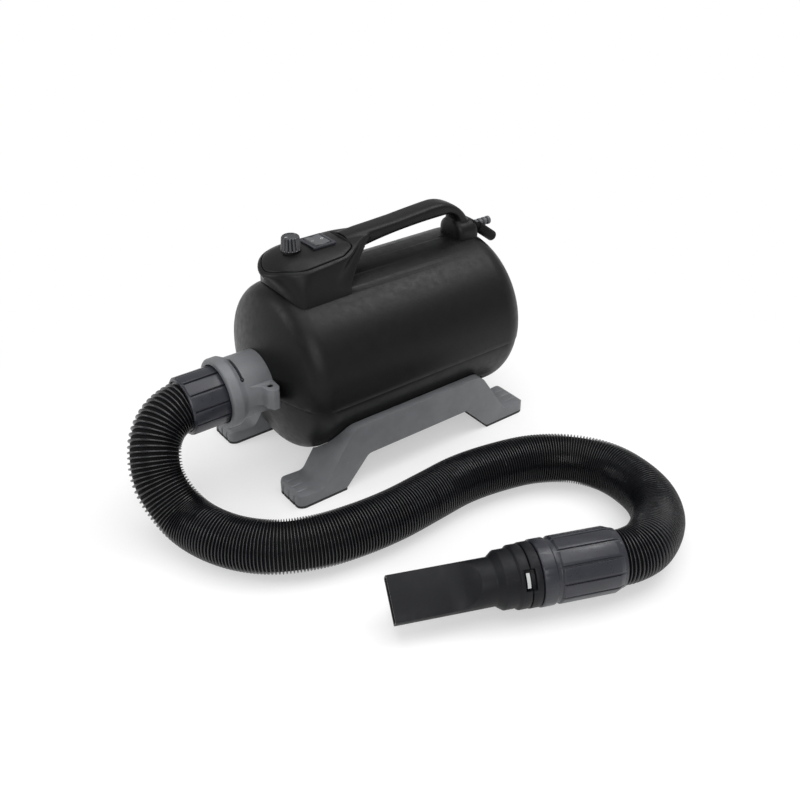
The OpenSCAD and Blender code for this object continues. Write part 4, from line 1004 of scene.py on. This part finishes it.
@dataclass(frozen=True)
class HandleForm:
    """Measures of the handle, in millimetres. Those that end in _from or _to run back from the nose."""

    axis_h: float = 112.7
    drum_r: float = 93.0

    # The pod in plan
    nose_y: float = -119.0
    nose_l: float = 36.0
    bow: float = 1.7
    pod_w: float = 38.5
    taper_w: float = 4.0
    taper_l: float = 48.0
    taper_power: float = 1.6
    flare_from: float = 80.0
    flare_to: float = 126.0
    tail_w: float = 1.0
    tail_l: float = 4.0

    # The pod's foot on the drum, and its wall
    foot_w: float = 43.0
    foot_from: float = 13.0
    foot_l: float = 14.0
    foot_bow: float = 2.4
    foot_taper: float = 1.4
    wall_sunk: float = 0.88
    wall_root: float = 12.0
    wall_power: float = 2.2
    lip: float = 1.6
    top_middle: float = 60.0

    # The pod's top, which is crowned and falls towards the nose
    pod_h: float = 36.0
    crown_r: float = 110.0
    crown_w: float = 15.0
    shoulder: float = 109.0
    nose_drop: float = 17.5
    fall_l: float = 43.0

    # The carrying bar, the finger gap under it, and the heel, whose bend starts ahead of the gap's rear end
    bar_w: float = 13.0
    bar_from: float = 81.0
    bar_rise: float = 9.0
    bar_t: float = 16.5
    bar_square: float = 0.62
    bar_sunk: float = 0.85
    gap_rear_y: float = 123.5
    gap_round: float = 12.0
    gap_fall: float = 17.0
    gap_power: float = 2.6
    heel_ahead: float = 27.5
    heel_l: float = 50.0
    heel_h: float = 44.0
    heel_power: float = 1.08
    leg_down: Flat = (8.0, 3.0)

    # The foot block behind the bar
    block_w: float = 20.0
    block_h: float = 17.0
    block_span: Flat = (-2.0, 30.5)
    block_front: float = 7.0
    block_rear: float = 10.0
    block_fall: float = 12.0
    block_neck: float = 2.0
    block_r: float = 11.0
    block_round: float = 0.8
    block_crown: float = 1.5
    block_power: float = 2.4
    block_least: float = 0.02
    block_sunk: float = 0.8

    # The control panel, its groove, and where its parts stand
    inset: float = 4.5
    groove: float = 0.8
    panel_to: float = 94.4
    panel_middle: float = 58.0
    knob_y: float = -83.0
    switch_y: float = -52.0

    # Numbers of points and steps
    NOSE_STEPS = 20
    PANEL_NOSE_STEPS = 18
    SIDE_STEPS = 36
    TAIL_STEPS = 6
    WALL_STEPS = 20
    BAR_STEPS = 30
    BEND_STEPS = 12
    BAR_POINTS = 40
    BLOCK_STEPS = (8, 12)
    CORNER_STEPS = 10

    # Share of the rim, and how far the top lies sunk there
    TOP = ((0.998, 1.0), (0.991, 0.5), (0.98, 0.15), (0.96, 0.0), (0.93, 0.0), (0.88, 0.0), (0.82, 0.0),
           (0.72, 0.0), (0.6, 0.0), (0.46, 0.0), (0.3, 0.0), (0.15, 0.0), (0.03, 0.0))
    # Share of the bar's length, and share of its rise over the pod
    RISE = ((0, -0.09), (0.14, 0.2), (0.27, 0.35), (0.43, 0.43), (0.6, 0.55), (0.77, 0.77), (0.94, 0.96),
            (1.01, 1))

    @property
    def top(self) -> float:
        """Height of the pod's crown."""
        return self.axis_h + self.drum_r + self.pod_h

    def sunk(self, share: float) -> float:
        """Height over the floor at a share of the drum's radius over its axis."""
        return self.axis_h + self.drum_r * share

    def deck(self, x: float, y: float) -> float:
        """Gives the height of the pod's top.

        Args:
            x: Place across the pod.
            y: Place along it.

        Returns:
            The height.
        """
        fall = max(0.0, (self.nose_y + self.fall_l - y) / self.fall_l)
        side = x * x / (2 * self.crown_r) + max(0.0, abs(x) - self.crown_w) ** 2 / self.shoulder
        return self.top - side - self.nose_drop * fall ** 2

    @staticmethod
    def quarter(w: float, tip: float, length: float, bow: float, steps: int) -> list[Flat]:
        """Lists the right half of a nose in plan.

        Args:
            w: Half width behind the nose.
            tip: Y of its tip.
            length: Its length.
            bow: Power of its curve: 2 is an ellipse, and more is fuller.
            steps: Number of steps.

        Returns:
            The points, from the tip to the full width.
        """
        angles = [90 * k / steps for k in range(steps + 1)]
        return [(w * power_sin(a, 2 / bow), tip + length * (1 - abs(power_sin(90 - a, 2 / bow))))
                for a in angles]

    def tail(self, w: float, y: float) -> list[Flat]:
        """Lists the points that close a plan behind, from half width w at y.

        Args:
            w: Half width at the start.
            y: Y of the start.

        Returns:
            The points.
        """
        shares = [j / self.TAIL_STEPS for j in range(1, self.TAIL_STEPS + 1)]
        return [(w - (w - self.tail_w) * share, y + self.tail_l * share) for share in shares]

    def half(self, y: float) -> float:
        """Gives the half width of the rim behind the nose.

        Args:
            y: Place along the pod.

        Returns:
            The half width.
        """
        t = max(0.0, (y - self.nose_y - self.nose_l) / self.taper_l)
        wide = self.pod_w - self.taper_w * t ** self.taper_power
        start, end = self.nose_y + self.flare_from, self.nose_y + self.flare_to
        return self.bar_w + (wide - self.bar_w) * (1 - ease((y - start) / (end - start)))

    def rim(self) -> list[Flat]:
        """Lists the right half of the rim in plan, from the nose to the rear.

        Returns:
            The points.
        """
        start, end = self.nose_y + self.nose_l, self.nose_y + self.flare_to
        ys = [start + (end - start) * j / self.SIDE_STEPS for j in range(1, self.SIDE_STEPS + 1)]
        return (self.quarter(self.pod_w, self.nose_y, self.nose_l, self.bow, self.NOSE_STEPS)
                + [(self.half(y), y) for y in ys] + self.tail(self.bar_w, end))

    def foot(self) -> list[Flat]:
        """Lists the right half of the pod's foot in plan, with as many points as the rim.

        Returns:
            The points.
        """
        tip = self.nose_y + self.foot_from
        start, end = tip + self.foot_l, self.nose_y + self.flare_from
        side = [(self.foot_w - self.foot_taper * j / self.SIDE_STEPS,
                 start + (end - start) * j / self.SIDE_STEPS) for j in range(1, self.SIDE_STEPS + 1)]
        return (self.quarter(self.foot_w, tip, self.foot_l, self.foot_bow, self.NOSE_STEPS)
                + side + self.tail(self.foot_w - self.foot_taper, end))

    @staticmethod
    def mirrored(half: Sequence[Point]) -> Ring:
        """Closes a half ring, rear right corner first."""
        return list(reversed(half)) + [(-x, y, z) for x, y, z in half[1:]]

    def pod_rings(self) -> list[Ring]:
        """Lists the rings of the pod, from inside the drum up its wall and in over its top.

        Returns:
            The rings.
        """
        rim, foot = self.rim(), self.foot()
        low = self.sunk(self.wall_sunk)
        rings = [self.mirrored([(x, y, low - self.wall_root) for x, y in foot])]
        for k in [j / self.WALL_STEPS for j in range(self.WALL_STEPS + 1)]:
            g = k ** self.wall_power
            rings.append(self.mirrored([
                (f[0] + (r[0] - f[0]) * g, f[1] + (r[1] - f[1]) * g,
                 low + (self.deck(*r) - self.lip - low) * k) for f, r in zip(foot, rim)]))
        mid = self.nose_y + self.top_middle
        for k, sink in self.TOP:
            rings.append(self.mirrored([(x * k, mid + (y - mid) * k,
                                         self.deck(x * k, mid + (y - mid) * k) - sink) for x, y in rim]))
        return rings

    def inner(self, t: float) -> Flat:
        """Gives a point on the bar's lower edge, in the middle plane.

        Args:
            t: Place along it: 0 at the pod, 1 at the bend and 2 at the bend's end.

        Returns:
            Y and height of the point.
        """
        bend, high = self.gap_rear_y - self.gap_round, self.top + self.bar_rise - self.bar_t
        if t <= 1:
            start = self.nose_y + self.bar_from
            return start + (bend - start) * t, high - self.gap_fall * (1 - t) ** self.gap_power
        return (bend + self.gap_round * power_sin(90 * (t - 1), 1),
                high - self.gap_round + self.gap_round * power_sin(90 * (2 - t), 1))

    def outer(self, t: float) -> Flat:
        """Gives a point on the bar's upper edge, in the middle plane.

        Args:
            t: Place along it, as for the lower edge.

        Returns:
            Y and height of the point.
        """
        bend, high = self.gap_rear_y - self.heel_ahead, self.top + self.bar_rise
        if t <= 1:
            start = self.nose_y + self.bar_from
            return start + (bend - start) * t, self.top + self.bar_rise * between(self.RISE, t)
        return (bend + self.heel_l * power_sin(90 * (t - 1), self.heel_power),
                high - self.heel_h * (1 - power_sin(90 * (2 - t), self.heel_power)))

    def bar_rings(self) -> list[Ring]:
        """Lists the rings of the bar, from inside the pod to inside the drum.

        Returns:
            The rings.
        """
        places = [k / self.BAR_STEPS for k in range(self.BAR_STEPS + 1)]
        places += [1 + k / self.BEND_STEPS for k in range(1, self.BEND_STEPS + 1)]
        pairs = [(self.inner(t), self.outer(t)) for t in places]
        low = self.sunk(self.bar_sunk)
        (iy, iz), (oy, oz) = pairs[-1]
        pairs += [((iy, iz - self.leg_down[0]), (oy, oz - self.leg_down[1])), ((iy, low), (oy, low))]
        square = self.bar_square
        turns = [360 * k / self.BAR_POINTS for k in range(self.BAR_POINTS)]
        section = [(power_sin(turn + 90, square), power_sin(turn, square)) for turn in turns]
        return [[(self.bar_w * c, (iy + oy) / 2 + (oy - iy) / 2 * s, (iz + oz) / 2 + (oz - iz) / 2 * s)
                 for c, s in section] for (iy, iz), (oy, oz) in pairs]

    def block_width(self, y: float, start: float, end: float) -> float:
        """Gives the half width of the foot block.

        Args:
            y: Place along the block.
            start: Y of its front.
            end: Y of its rear.

        Returns:
            The half width.
        """
        front = (start + self.block_front - y) / self.block_front
        rear = (y - end + self.block_rear) / self.block_rear
        if front > 0:
            neck = self.bar_w - self.block_neck
            return neck + (self.block_w - neck) * math.sqrt(max(0.0, 1 - front * front))
        if rear > 0:
            return self.block_w * math.sqrt(max(self.block_least, 1 - rear ** self.block_power))
        return self.block_w

    def block_rings(self) -> list[Ring]:
        """Lists the rings of the foot block behind the bar.

        Returns:
            The rings.
        """
        start, end = (self.gap_rear_y + reach for reach in self.block_span)
        top, low = self.sunk(1) + self.block_h, self.sunk(self.block_sunk)
        front, rear = self.BLOCK_STEPS
        ys = [start + self.block_front * (k / front) ** 2 for k in range(front + 1)]
        ys.append(start + 2 * self.block_front)
        ys += [end - self.block_rear + self.block_rear * power_sin(90 * k / rear, 1)
               for k in range(rear + 1)]
        turns = [90 * k / self.CORNER_STEPS for k in range(self.CORNER_STEPS + 1)]
        rings = []
        for y in ys:
            w = self.block_width(y, start, end)
            fall = max(0.0, (y - end + self.block_fall) / self.block_fall)
            high = top - self.block_fall * (1 - math.sqrt(max(0.0, 1 - fall * fall)))
            r = min(self.block_r, w * self.block_round)
            side = [(w - r + r * power_sin(90 - turn, 1), y,
                     high - r + r * power_sin(turn, 1) - self.block_crown * power_sin(90 - turn, 1))
                    for turn in turns]
            rings.append([(w, y, low)] + side + [(-x, q, z) for x, q, z in reversed(side)] + [(-w, y, low)])
        return rings

    def outline(self, d: float) -> list[Flat]:
        """Lists the outline of the control panel.

        Args:
            d: How far it is set in.

        Returns:
            The points, from the nose round the right side to the left.
        """
        i = self.inset + d
        w = self.pod_w - i
        end, start = self.nose_y + self.panel_to, self.nose_y + self.nose_l
        side = fillet([(0, start - 1, 0), (w, start - 1, 0), (w, start + 6, 20),
                       (w - 2.5, self.nose_y + 78 - 0.3 * d, 14 - d), (w - 10, end - d, 8 - d),
                       (0, end - d, 0)])
        half = self.quarter(w, self.nose_y + i, self.nose_l - i, self.bow, self.PANEL_NOSE_STEPS)
        half += [p for p in side if p[1] > start and p[0] > 0.01]
        return half + [(-x, y) for x, y in reversed(half[1:])]

    def layer(self, rows: Iterable[Point]) -> list[Ring]:
        """Lists rings that follow the panel's outline and the pod's top.

        Args:
            rows: Set-in, depth below the top and share of the outline for each ring.

        Returns:
            The rings.
        """
        mid = self.nose_y + self.panel_middle
        rings = []
        for inset, depth, share in rows:
            plan = [(x * share, mid + (y - mid) * share) for x, y in self.outline(inset)]
            rings.append([(x, y, self.deck(x, y) - depth) for x, y in plan])
        return rings


@dataclass
class TopHandle:
    """The one-piece handle: pod, carrying bar and foot block melted into one skin."""

    form: HandleForm
    voxel: float = 1.15
    softness: int = 7
    seat: float = 3.2
    drum_gap: float = 0.35
    drum_span: Flat = (-160.0, 200.0)
    cavity_front: float = 15.5
    cavity_inset: float = 3.0
    overlap: float = 0.1
    crease: float = 40.0

    TURNS = 180

    # How far the recess's edge opens out, and how deep that is
    EDGE = ((0.0, 0.7), (0.12, 0.35), (0.45, 0.08), (1.1, -0.15), (1.6, -1.0), (1.6, -6.0))

    def cavity(self) -> bpy.types.Object:
        """Makes the cutter for the room under the panel, where the controls hang.

        Returns:
            The cutter.
        """
        form = self.form
        front = form.knob_y - self.cavity_front
        plan = [(x, max(y, front)) for x, y in form.outline(self.cavity_inset)]
        low = form.sunk(form.bar_sunk)
        return loft("cavity", [[(x, y, low) for x, y in plan],
                               [(x, y, form.deck(x, y) - self.seat + self.overlap) for x, y in plan]])

    def build(self, paint: Paintbox) -> bpy.types.Object:
        """Lofts the three bodies, melts them together and cuts the panel's recess.

        Args:
            paint: The finishes.

        Returns:
            The handle.
        """
        form = self.form
        handle = loft("handle_skin", form.pod_rings())
        for piece in (loft("bar", form.bar_rings()), loft("block", form.block_rings())):
            carve(handle, piece, Join.ADD)
        melt(handle, self.voxel, self.softness)
        carve(handle, revolve("drum_cutter", rod(form.drum_r - self.drum_gap, *self.drum_span), self.TURNS,
                              along((0, 0, form.axis_h), (0, 1, 0))))
        carve(handle, self.cavity())
        half = form.groove / 2
        carve(handle, loft("recess", form.layer([(-half - out, depth, 1) for out, depth
                                                 in ((0.0, self.seat), *self.EDGE)])))
        smooth(handle, self.crease)
        return hand_over(handle, Body.DRYER, Slot.HOUSING, paint, "top_handle")


@dataclass
class ControlPanel:
    """The crowned plate in the pod's top, with the land that carries the knob."""

    form: HandleForm
    thickness: float = 3.1
    land_r: float = 9.2
    land_t: float = 3.2
    land_edge: float = 0.4
    land_lift: float = 0.3
    shaft_r: float = 4.1
    switch_body: Flat = (25.2, 23.2)
    reach: float = 20.0
    crease: float = 32.0

    LAND_TURNS = 64
    BORE_TURNS = 48

    # How far the plate's edge is drawn in, and how deep that is
    EDGE = ((0.0, 0.75), (0.12, 0.35), (0.4, 0.1), (0.8, 0.0))
    # Shares of the outline at which the plate's underside and top have their rings
    UNDER = (0.04, 0.5, 1.0)
    OVER = (0.93, 0.84, 0.72, 0.58, 0.44, 0.3, 0.16, 0.04)

    def build(self, paint: Paintbox) -> bpy.types.Object:
        """Lofts the plate, raises the land and opens the shaft's bore and the switch's window.

        Args:
            paint: The finishes.

        Returns:
            The panel.
        """
        form = self.form
        g = form.groove / 2
        rows = [(g, self.thickness, share) for share in self.UNDER]
        rows += [(g + inward, depth, 1) for inward, depth in self.EDGE]
        rows += [(g + self.EDGE[-1][0], 0.0, share) for share in self.OVER]
        panel = loft("panel_plate", form.layer(rows))
        high = form.top + self.land_lift
        upright = along((0, form.knob_y, high), (0, 0, 1))
        profile = [(0, -self.land_t), (self.land_r, -self.land_t), (self.land_r, -self.land_edge),
                   (self.land_r - self.land_edge, 0.0), (0, 0.0)]
        carve(panel, revolve("land", profile, self.LAND_TURNS, upright), Join.ADD)
        bore = rod(self.shaft_r, -self.reach, self.reach)
        carve(panel, revolve("shaft_bore", bore, self.BORE_TURNS, upright))
        wide, deep = (size / 2 for size in self.switch_body)
        window = [[(x * wide, form.switch_y + y * deep, high + z) for x, y in SQUARE]
                  for z in (-self.reach, self.reach)]
        carve(panel, loft("switch_window", window))
        smooth(panel, self.crease)
        return hand_over(panel, Body.DRYER, Slot.HOUSING, paint, "control_panel")


@dataclass
class SpeedKnob:
    """The tapered knob with coarse flutes and a dished top."""

    form: HandleForm
    radius: float = 10.75
    top_radius: float = 9.3
    height: float = 14.0
    lift: float = 0.6
    flutes: int = 16
    flute_points: int = 12
    sharpness: float = 2.2
    mark_w: float = 0.9
    mark_span: Flat = (-7.6, -3.4)
    mark_t: float = 0.12
    dish: float = 0.62
    crease: float = 38.0

    def ring(self, radius: float, height: float, cut: float) -> Ring:
        """Lists one ring of the knob.

        Args:
            radius: Its radius over the flutes.
            height: Its height over the knob's foot.
            cut: Depth of the flutes.

        Returns:
            The points.
        """
        count = self.flutes * self.flute_points
        row = []
        for k in range(count):
            angle = math.tau * k / count
            wave = 0.5 - 0.5 * math.cos(self.flutes * angle)
            r = radius - cut * (1 - wave) ** self.sharpness
            row.append((r * math.cos(angle), self.form.knob_y + r * math.sin(angle),
                        self.form.top + self.lift + height))
        return row

    def build(self, paint: Paintbox) -> bpy.types.Object:
        """Lofts the fluted body and lays the mark in its top.

        Args:
            paint: The finishes.

        Returns:
            The knob.
        """
        r, h, top = self.radius, self.height, self.top_radius
        rows = [(1.0, 0.0, 0.0), (r - 0.4, 0.0, 0.0), (r - 0.1, 0.3, 0.5), (r - 0.15, 0.9, 1.5),
                (top + 0.55, h * 0.45, 1.55), (top, h - 1.6, 1.5), (top - 0.25, h - 0.9, 1.2),
                (top - 0.9, h - 0.25, 0.4), (top - 1.5, h, 0.0), (top - 2.3, h, 0.0),
                (top - 2.7, h - 0.55, 0.0), (top - 4.0, h - 0.6, 0.0), (1.0, h - 0.6, 0.0)]
        knob = loft("fluted_knob", [self.ring(*row) for row in rows])
        smooth(knob, self.crease)
        floor = self.form.top + self.lift + h - self.dish
        near, far = (self.form.knob_y + y for y in self.mark_span)
        corners = [(-1, near), (1, near), (1, far), (-1, far)]
        mark = loft("knob_mark", [[(x * self.mark_w / 2, y, floor + z) for x, y in corners]
                                  for z in (0.0, self.mark_t)])
        hand_over(mark, Body.KNOB, Slot.MARK, paint)
        return hand_over(knob, Body.KNOB, Slot.KNOB, paint, "speed_knob")


@dataclass
class CableSleeve:
    """The ribbed strain relief behind the handle, with its end open."""

    base: Point = (0.0, 153.0, 209.0)
    radius: float = 4.75
    root: float = 3.1
    bore: float = 2.6
    depth: float = 6.0
    length: float = 28.3
    flange: Flat = (1.3, 3.8)
    flange_out: float = 1.0
    flange_edge: float = 0.3
    ribs: int = 4
    rib_from: float = 5.6
    rib_l: float = 4.0
    rib_edge: float = 0.7
    crease: float = 40.0

    TURNS = 48

    def disc(self, radius: float, low: float, high: float, edge: float) -> list[Flat]:
        """Lists the profile of a flange or a rib over the sleeve's root.

        Args:
            radius: Its radius.
            low: Where it starts along the sleeve.
            high: Where it ends.
            edge: Width of its bevelled edges.

        Returns:
            The points.
        """
        return [(self.root, low), (radius - edge, low), (radius, low + edge), (radius, high - edge),
                (radius - edge, high), (self.root, high)]

    def build(self, paint: Paintbox) -> bpy.types.Object:
        """Turns the sleeve with its flange and ribs.

        Args:
            paint: The finishes.

        Returns:
            The sleeve.
        """
        profile = [(self.bore, -self.depth), (self.root, -self.depth)]
        profile += self.disc(self.radius + self.flange_out, *self.flange, self.flange_edge)
        step = (self.length - self.rib_from - self.rib_l) / (self.ribs - 1)
        for k in range(self.ribs):
            start = self.rib_from + k * step
            profile += self.disc(self.radius, start, start + self.rib_l, self.rib_edge)
        # The last rib ends the sleeve, so its end runs straight to the bore
        profile[-1] = (self.bore, self.length)
        sleeve = revolve("ribbed_sleeve", profile, self.TURNS, along(self.base, (0, 1, 0)))
        smooth(sleeve, self.crease)
        return hand_over(sleeve, Body.DRYER, Slot.SLEEVE, paint, "cable_sleeve")


@dataclass
class LatchFaces:
    """The light faces of the two lugs that show in the latch windows."""

    at: Flat = (124.0, 304.0)
    half_angle: float = 13.5
    radius: float = 28.6
    reach: Flat = (94.5, 97.7)
    skin: Flat = (0.02, 0.3)
    crease: float = 40.0

    STEPS = 12

    def build(self, paint: Paintbox) -> None:
        """Lays a thin face on each lug.

        Args:
            paint: The finishes.
        """
        way = heading(GRIP_YAW + 180)
        side = Vector((-way.y, way.x, 0.0))
        near, far = self.reach
        under, over = self.skin
        for number, middle in enumerate(self.at):
            rings = []
            for k in range(self.STEPS + 1):
                angle = math.radians(middle + self.half_angle * (2 * k / self.STEPS - 1))
                out = Vector((0.0, 0.0, -1.0)) * math.cos(angle) + side * math.sin(angle)
                rings.append([tuple(Vector(GRIP) + way * z + out * (self.radius + r))
                              for z, r in ((near, under), (far, under), (far, over), (near, over))])
            face = loft(f"latch_face_{number + 1}", rings)
            smooth(face, self.crease)
            hand_over(face, Body.DRYER, Slot.MARK, paint)


@dataclass
class SwitchMarks:
    """The generic on and off marks on the rocker's two slopes."""

    form: HandleForm
    pivot: float = 239.2
    face_h: float = 4.0
    rise: float = 1.6
    half_length: float = 9.9
    at: float = 5.6
    bar: Flat = (0.6, 3.2)
    ring: Flat = (1.1, 1.55)
    sink: float = 0.15
    lift: float = 0.12

    TURNS = 40

    def slope(self, y: float) -> float:
        """Height of the rocker's face at a distance behind its middle."""
        return self.pivot + self.face_h + self.rise * abs(y) / self.half_length

    def on_mark(self) -> bpy.types.Object:
        """Lays the bar on the front slope.

        Returns:
            The bar.
        """
        wide, deep = (size / 2 for size in self.bar)
        return loft("on_mark", [[(x * wide, self.form.switch_y - self.at + y * deep,
                                  self.slope(-self.at + y * deep) + z) for x, y in SQUARE]
                                for z in (-self.sink, self.lift)])

    def off_mark(self) -> bpy.types.Object:
        """Lays the ring on the rear slope.

        Returns:
            The ring.
        """
        tilt = math.atan2(self.rise, self.half_length)
        base = along((0, self.form.switch_y + self.at, self.slope(self.at) - self.sink),
                     (0, -math.sin(tilt), math.cos(tilt)), (1, 0, 0))
        bore, rim = self.ring
        height = self.sink + self.lift
        return revolve("off_mark", [(bore, 0), (rim, 0), (rim, height), (bore, height)], self.TURNS, base)

    def build(self, paint: Paintbox) -> None:
        """Makes both marks and hands them over.

        Args:
            paint: The finishes.
        """
        for mark in (self.on_mark(), self.off_mark()):
            hand_over(mark, Body.ROCKER, Slot.MARK, paint)


# ------------------------------------------------------------------ studio


@dataclass(frozen=True)
class SoftBox:
    """A soft lamp: its place, its aim and its size in metres, and its power in watts."""

    name: str
    place: Point
    aim: Point
    size: Flat
    power: float

    def hang(self) -> None:
        """Hangs the lamp."""
        data = bpy.data.lights.new(self.name, "AREA")
        data.shape = "RECTANGLE"
        data.size, data.size_y = self.size
        data.energy = self.power
        lamp = bpy.data.objects.new(self.name, data)
        bpy.context.scene.collection.objects.link(lamp)
        lamp.location = self.place
        lamp.rotation_euler = (Vector(self.aim) - Vector(self.place)).to_track_quat("-Z", "Y").to_euler()


@dataclass(frozen=True)
class Studio:
    """The pale floor, the soft lights and the camera, whose lens and place alone are in millimetres."""

    lens: float = 43.0
    sensor: float = 36.0
    clip: Flat = (0.01, 40.0)
    eye: Point = (771.235, -527.518, 630.436)
    right: Point = (0.6016, 0.7988, 0.0)
    up: Point = (-0.4318, 0.3252, 0.8413)
    back: Point = (0.672, -0.506, 0.540)
    floor_size: float = 14.0
    floor_tone: float = 0.9

    # The floor turns white to the eye from the middle outwards: distances in metres, and shares of white
    FADE_MIDDLE = (0.14, -0.03, 0)
    FADE = (("From Min", 0.22), ("From Max", 0.62), ("To Min", 0.45), ("To Max", 1.0))
    # Strength of the world on the object, and as seen by the camera
    WORLD = (("To Min", 0.5), ("To Max", 1.0))
    LAMPS = (
        SoftBox("top_box", (0.1, 0.1, 2.2), (0.05, 0, 0.1), (2.2, 2.2), 28),
        SoftBox("rear_box", (0.45, 1.3, 2.0), (0.0, 0.0, 0.15), (1.2, 0.8), 14),
        SoftBox("side_box", (2.0, -1.4, 1.6), (0, 0, 0.1), (1.4, 1.4), 22),
        SoftBox("front_box", (-1.2, -2.2, 1.4), (0, 0, 0.12), (1.2, 1.2), 16),
    )

    def camera(self) -> None:
        """Sets the camera at its angle."""
        data = bpy.data.cameras.new("portrait")
        data.lens = self.lens
        data.sensor_width = self.sensor
        data.sensor_fit = "HORIZONTAL"
        data.clip_start, data.clip_end = self.clip
        camera = bpy.data.objects.new("portrait", data)
        bpy.context.scene.collection.objects.link(camera)
        turn = Matrix((self.right, self.up, self.back)).transposed().to_4x4()
        turn.translation = Vector(self.eye) * MM
        camera.matrix_world = turn
        bpy.context.scene.camera = camera

    def whiteness(self, tree: bpy.types.NodeTree) -> bpy.types.NodeSocket:
        """Gives the share of plain white that the floor shows to the eye and in reflections.

        Args:
            tree: The floor's node tree.

        Returns:
            The share's socket.
        """
        place = tree.nodes.new("ShaderNodeTexCoord")
        centre = tree.nodes.new("ShaderNodeVectorMath")
        centre.operation = "DISTANCE"
        centre.inputs[1].default_value = self.FADE_MIDDLE
        tree.links.new(place.outputs["Object"], centre.inputs[0])
        fade = tree.nodes.new("ShaderNodeMapRange")
        fade.interpolation_type = "SMOOTHSTEP"
        for name, value in self.FADE:
            fade.inputs[name].default_value = value
        tree.links.new(centre.outputs["Value"], fade.inputs["Value"])
        rays = tree.nodes.new("ShaderNodeLightPath")
        seen = tree.nodes.new("ShaderNodeMath")
        seen.operation = "MAXIMUM"
        tree.links.new(rays.outputs["Is Camera Ray"], seen.inputs[0])
        tree.links.new(rays.outputs["Is Glossy Ray"], seen.inputs[1])
        share = tree.nodes.new("ShaderNodeMath")
        share.operation = "MULTIPLY"
        tree.links.new(seen.outputs[0], share.inputs[0])
        tree.links.new(fade.outputs["Result"], share.inputs[1])
        return share.outputs[0]

    def floor(self) -> None:
        """Lays the floor."""
        deselect()
        bpy.ops.mesh.primitive_plane_add(size=self.floor_size, location=(0, 0, 0))
        floor = bpy.context.object
        floor.name = "floor"
        material = bpy.data.materials.new("floor")
        material.use_nodes = True
        tree = material.node_tree
        tree.nodes.clear()
        paint = tree.nodes.new("ShaderNodeBsdfDiffuse")
        paint.inputs["Color"].default_value = (self.floor_tone, self.floor_tone, self.floor_tone, 1)
        white = tree.nodes.new("ShaderNodeEmission")
        white.inputs["Color"].default_value = (1, 1, 1, 1)
        white.inputs["Strength"].default_value = 1.0
        mix = tree.nodes.new("ShaderNodeMixShader")
        for source, socket in zip((self.whiteness(tree), paint.outputs[0], white.outputs[0]), mix.inputs):
            tree.links.new(source, socket)
        tree.links.new(mix.outputs[0], tree.nodes.new("ShaderNodeOutputMaterial").inputs[0])
        floor.data.materials.append(material)

    def world(self) -> None:
        """Sets the world: even light on the object, and white behind it."""
        world = bpy.data.worlds.new("world")
        bpy.context.scene.world = world
        world.use_nodes = True
        tree = world.node_tree
        glow = tree.nodes["Background"]
        glow.inputs["Color"].default_value = (1, 1, 1, 1)
        rays = tree.nodes.new("ShaderNodeLightPath")
        level = tree.nodes.new("ShaderNodeMapRange")
        for name, value in self.WORLD:
            level.inputs[name].default_value = value
        tree.links.new(rays.outputs["Is Camera Ray"], level.inputs["Value"])
        tree.links.new(level.outputs["Result"], glow.inputs["Strength"])

    def build(self) -> None:
        """Sets up everything that isn't the dryer."""
        self.camera()
        self.floor()
        self.world()
        for lamp in self.LAMPS:
            lamp.hang()
        bpy.context.scene.view_settings.view_transform = "Standard"


MOULDINGS = (
    Moulding("upper_housing", Body.DRYER, 0.8),
    Moulding("lower_housing", Body.DRYER, 0.8),
    Moulding("switch_frame", Body.DRYER, 0.4),
    Moulding("switch_rocker", Body.ROCKER, 0.4),
    Moulding("fuse_cap", Body.DRYER, 0.5),
    OutletCollar("outlet_collar", Body.DRYER, 0.8),
    Moulding("left_skid", Body.DRYER, 1.2, 3),
    Moulding("right_skid", Body.DRYER, 1.2, 3),
    Moulding("hose_cuff", Body.CUFF, 0.6),
    Moulding("handgrip", Body.DRYER, 0.6),
    Moulding("lock_ring", Body.DRYER, 0.5),
    Moulding("nozzle", Body.NOZZLE, 0.5),
)


def main() -> None:
    """Builds the dryer's pieces in order."""
    logging.basicConfig(level=logging.INFO, format="%(message)s", stream=sys.stdout)
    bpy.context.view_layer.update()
    Studio().build()
    paint = Paintbox()
    paint.dress_nodes()
    hose = RibbedHose()
    hose.build()
    made = {moulding.node: moulding.build(paint) for moulding in MOULDINGS}
    form = HandleForm()
    TopHandle(form).build(paint)
    ControlPanel(form).build(paint)
    SpeedKnob(form).build(paint)
    CableSleeve().build(paint)
    LatchFaces().build(paint)
    SwitchMarks(form).build(paint)
    hose.declare(paint)


if __name__ == "__main__":
    main()
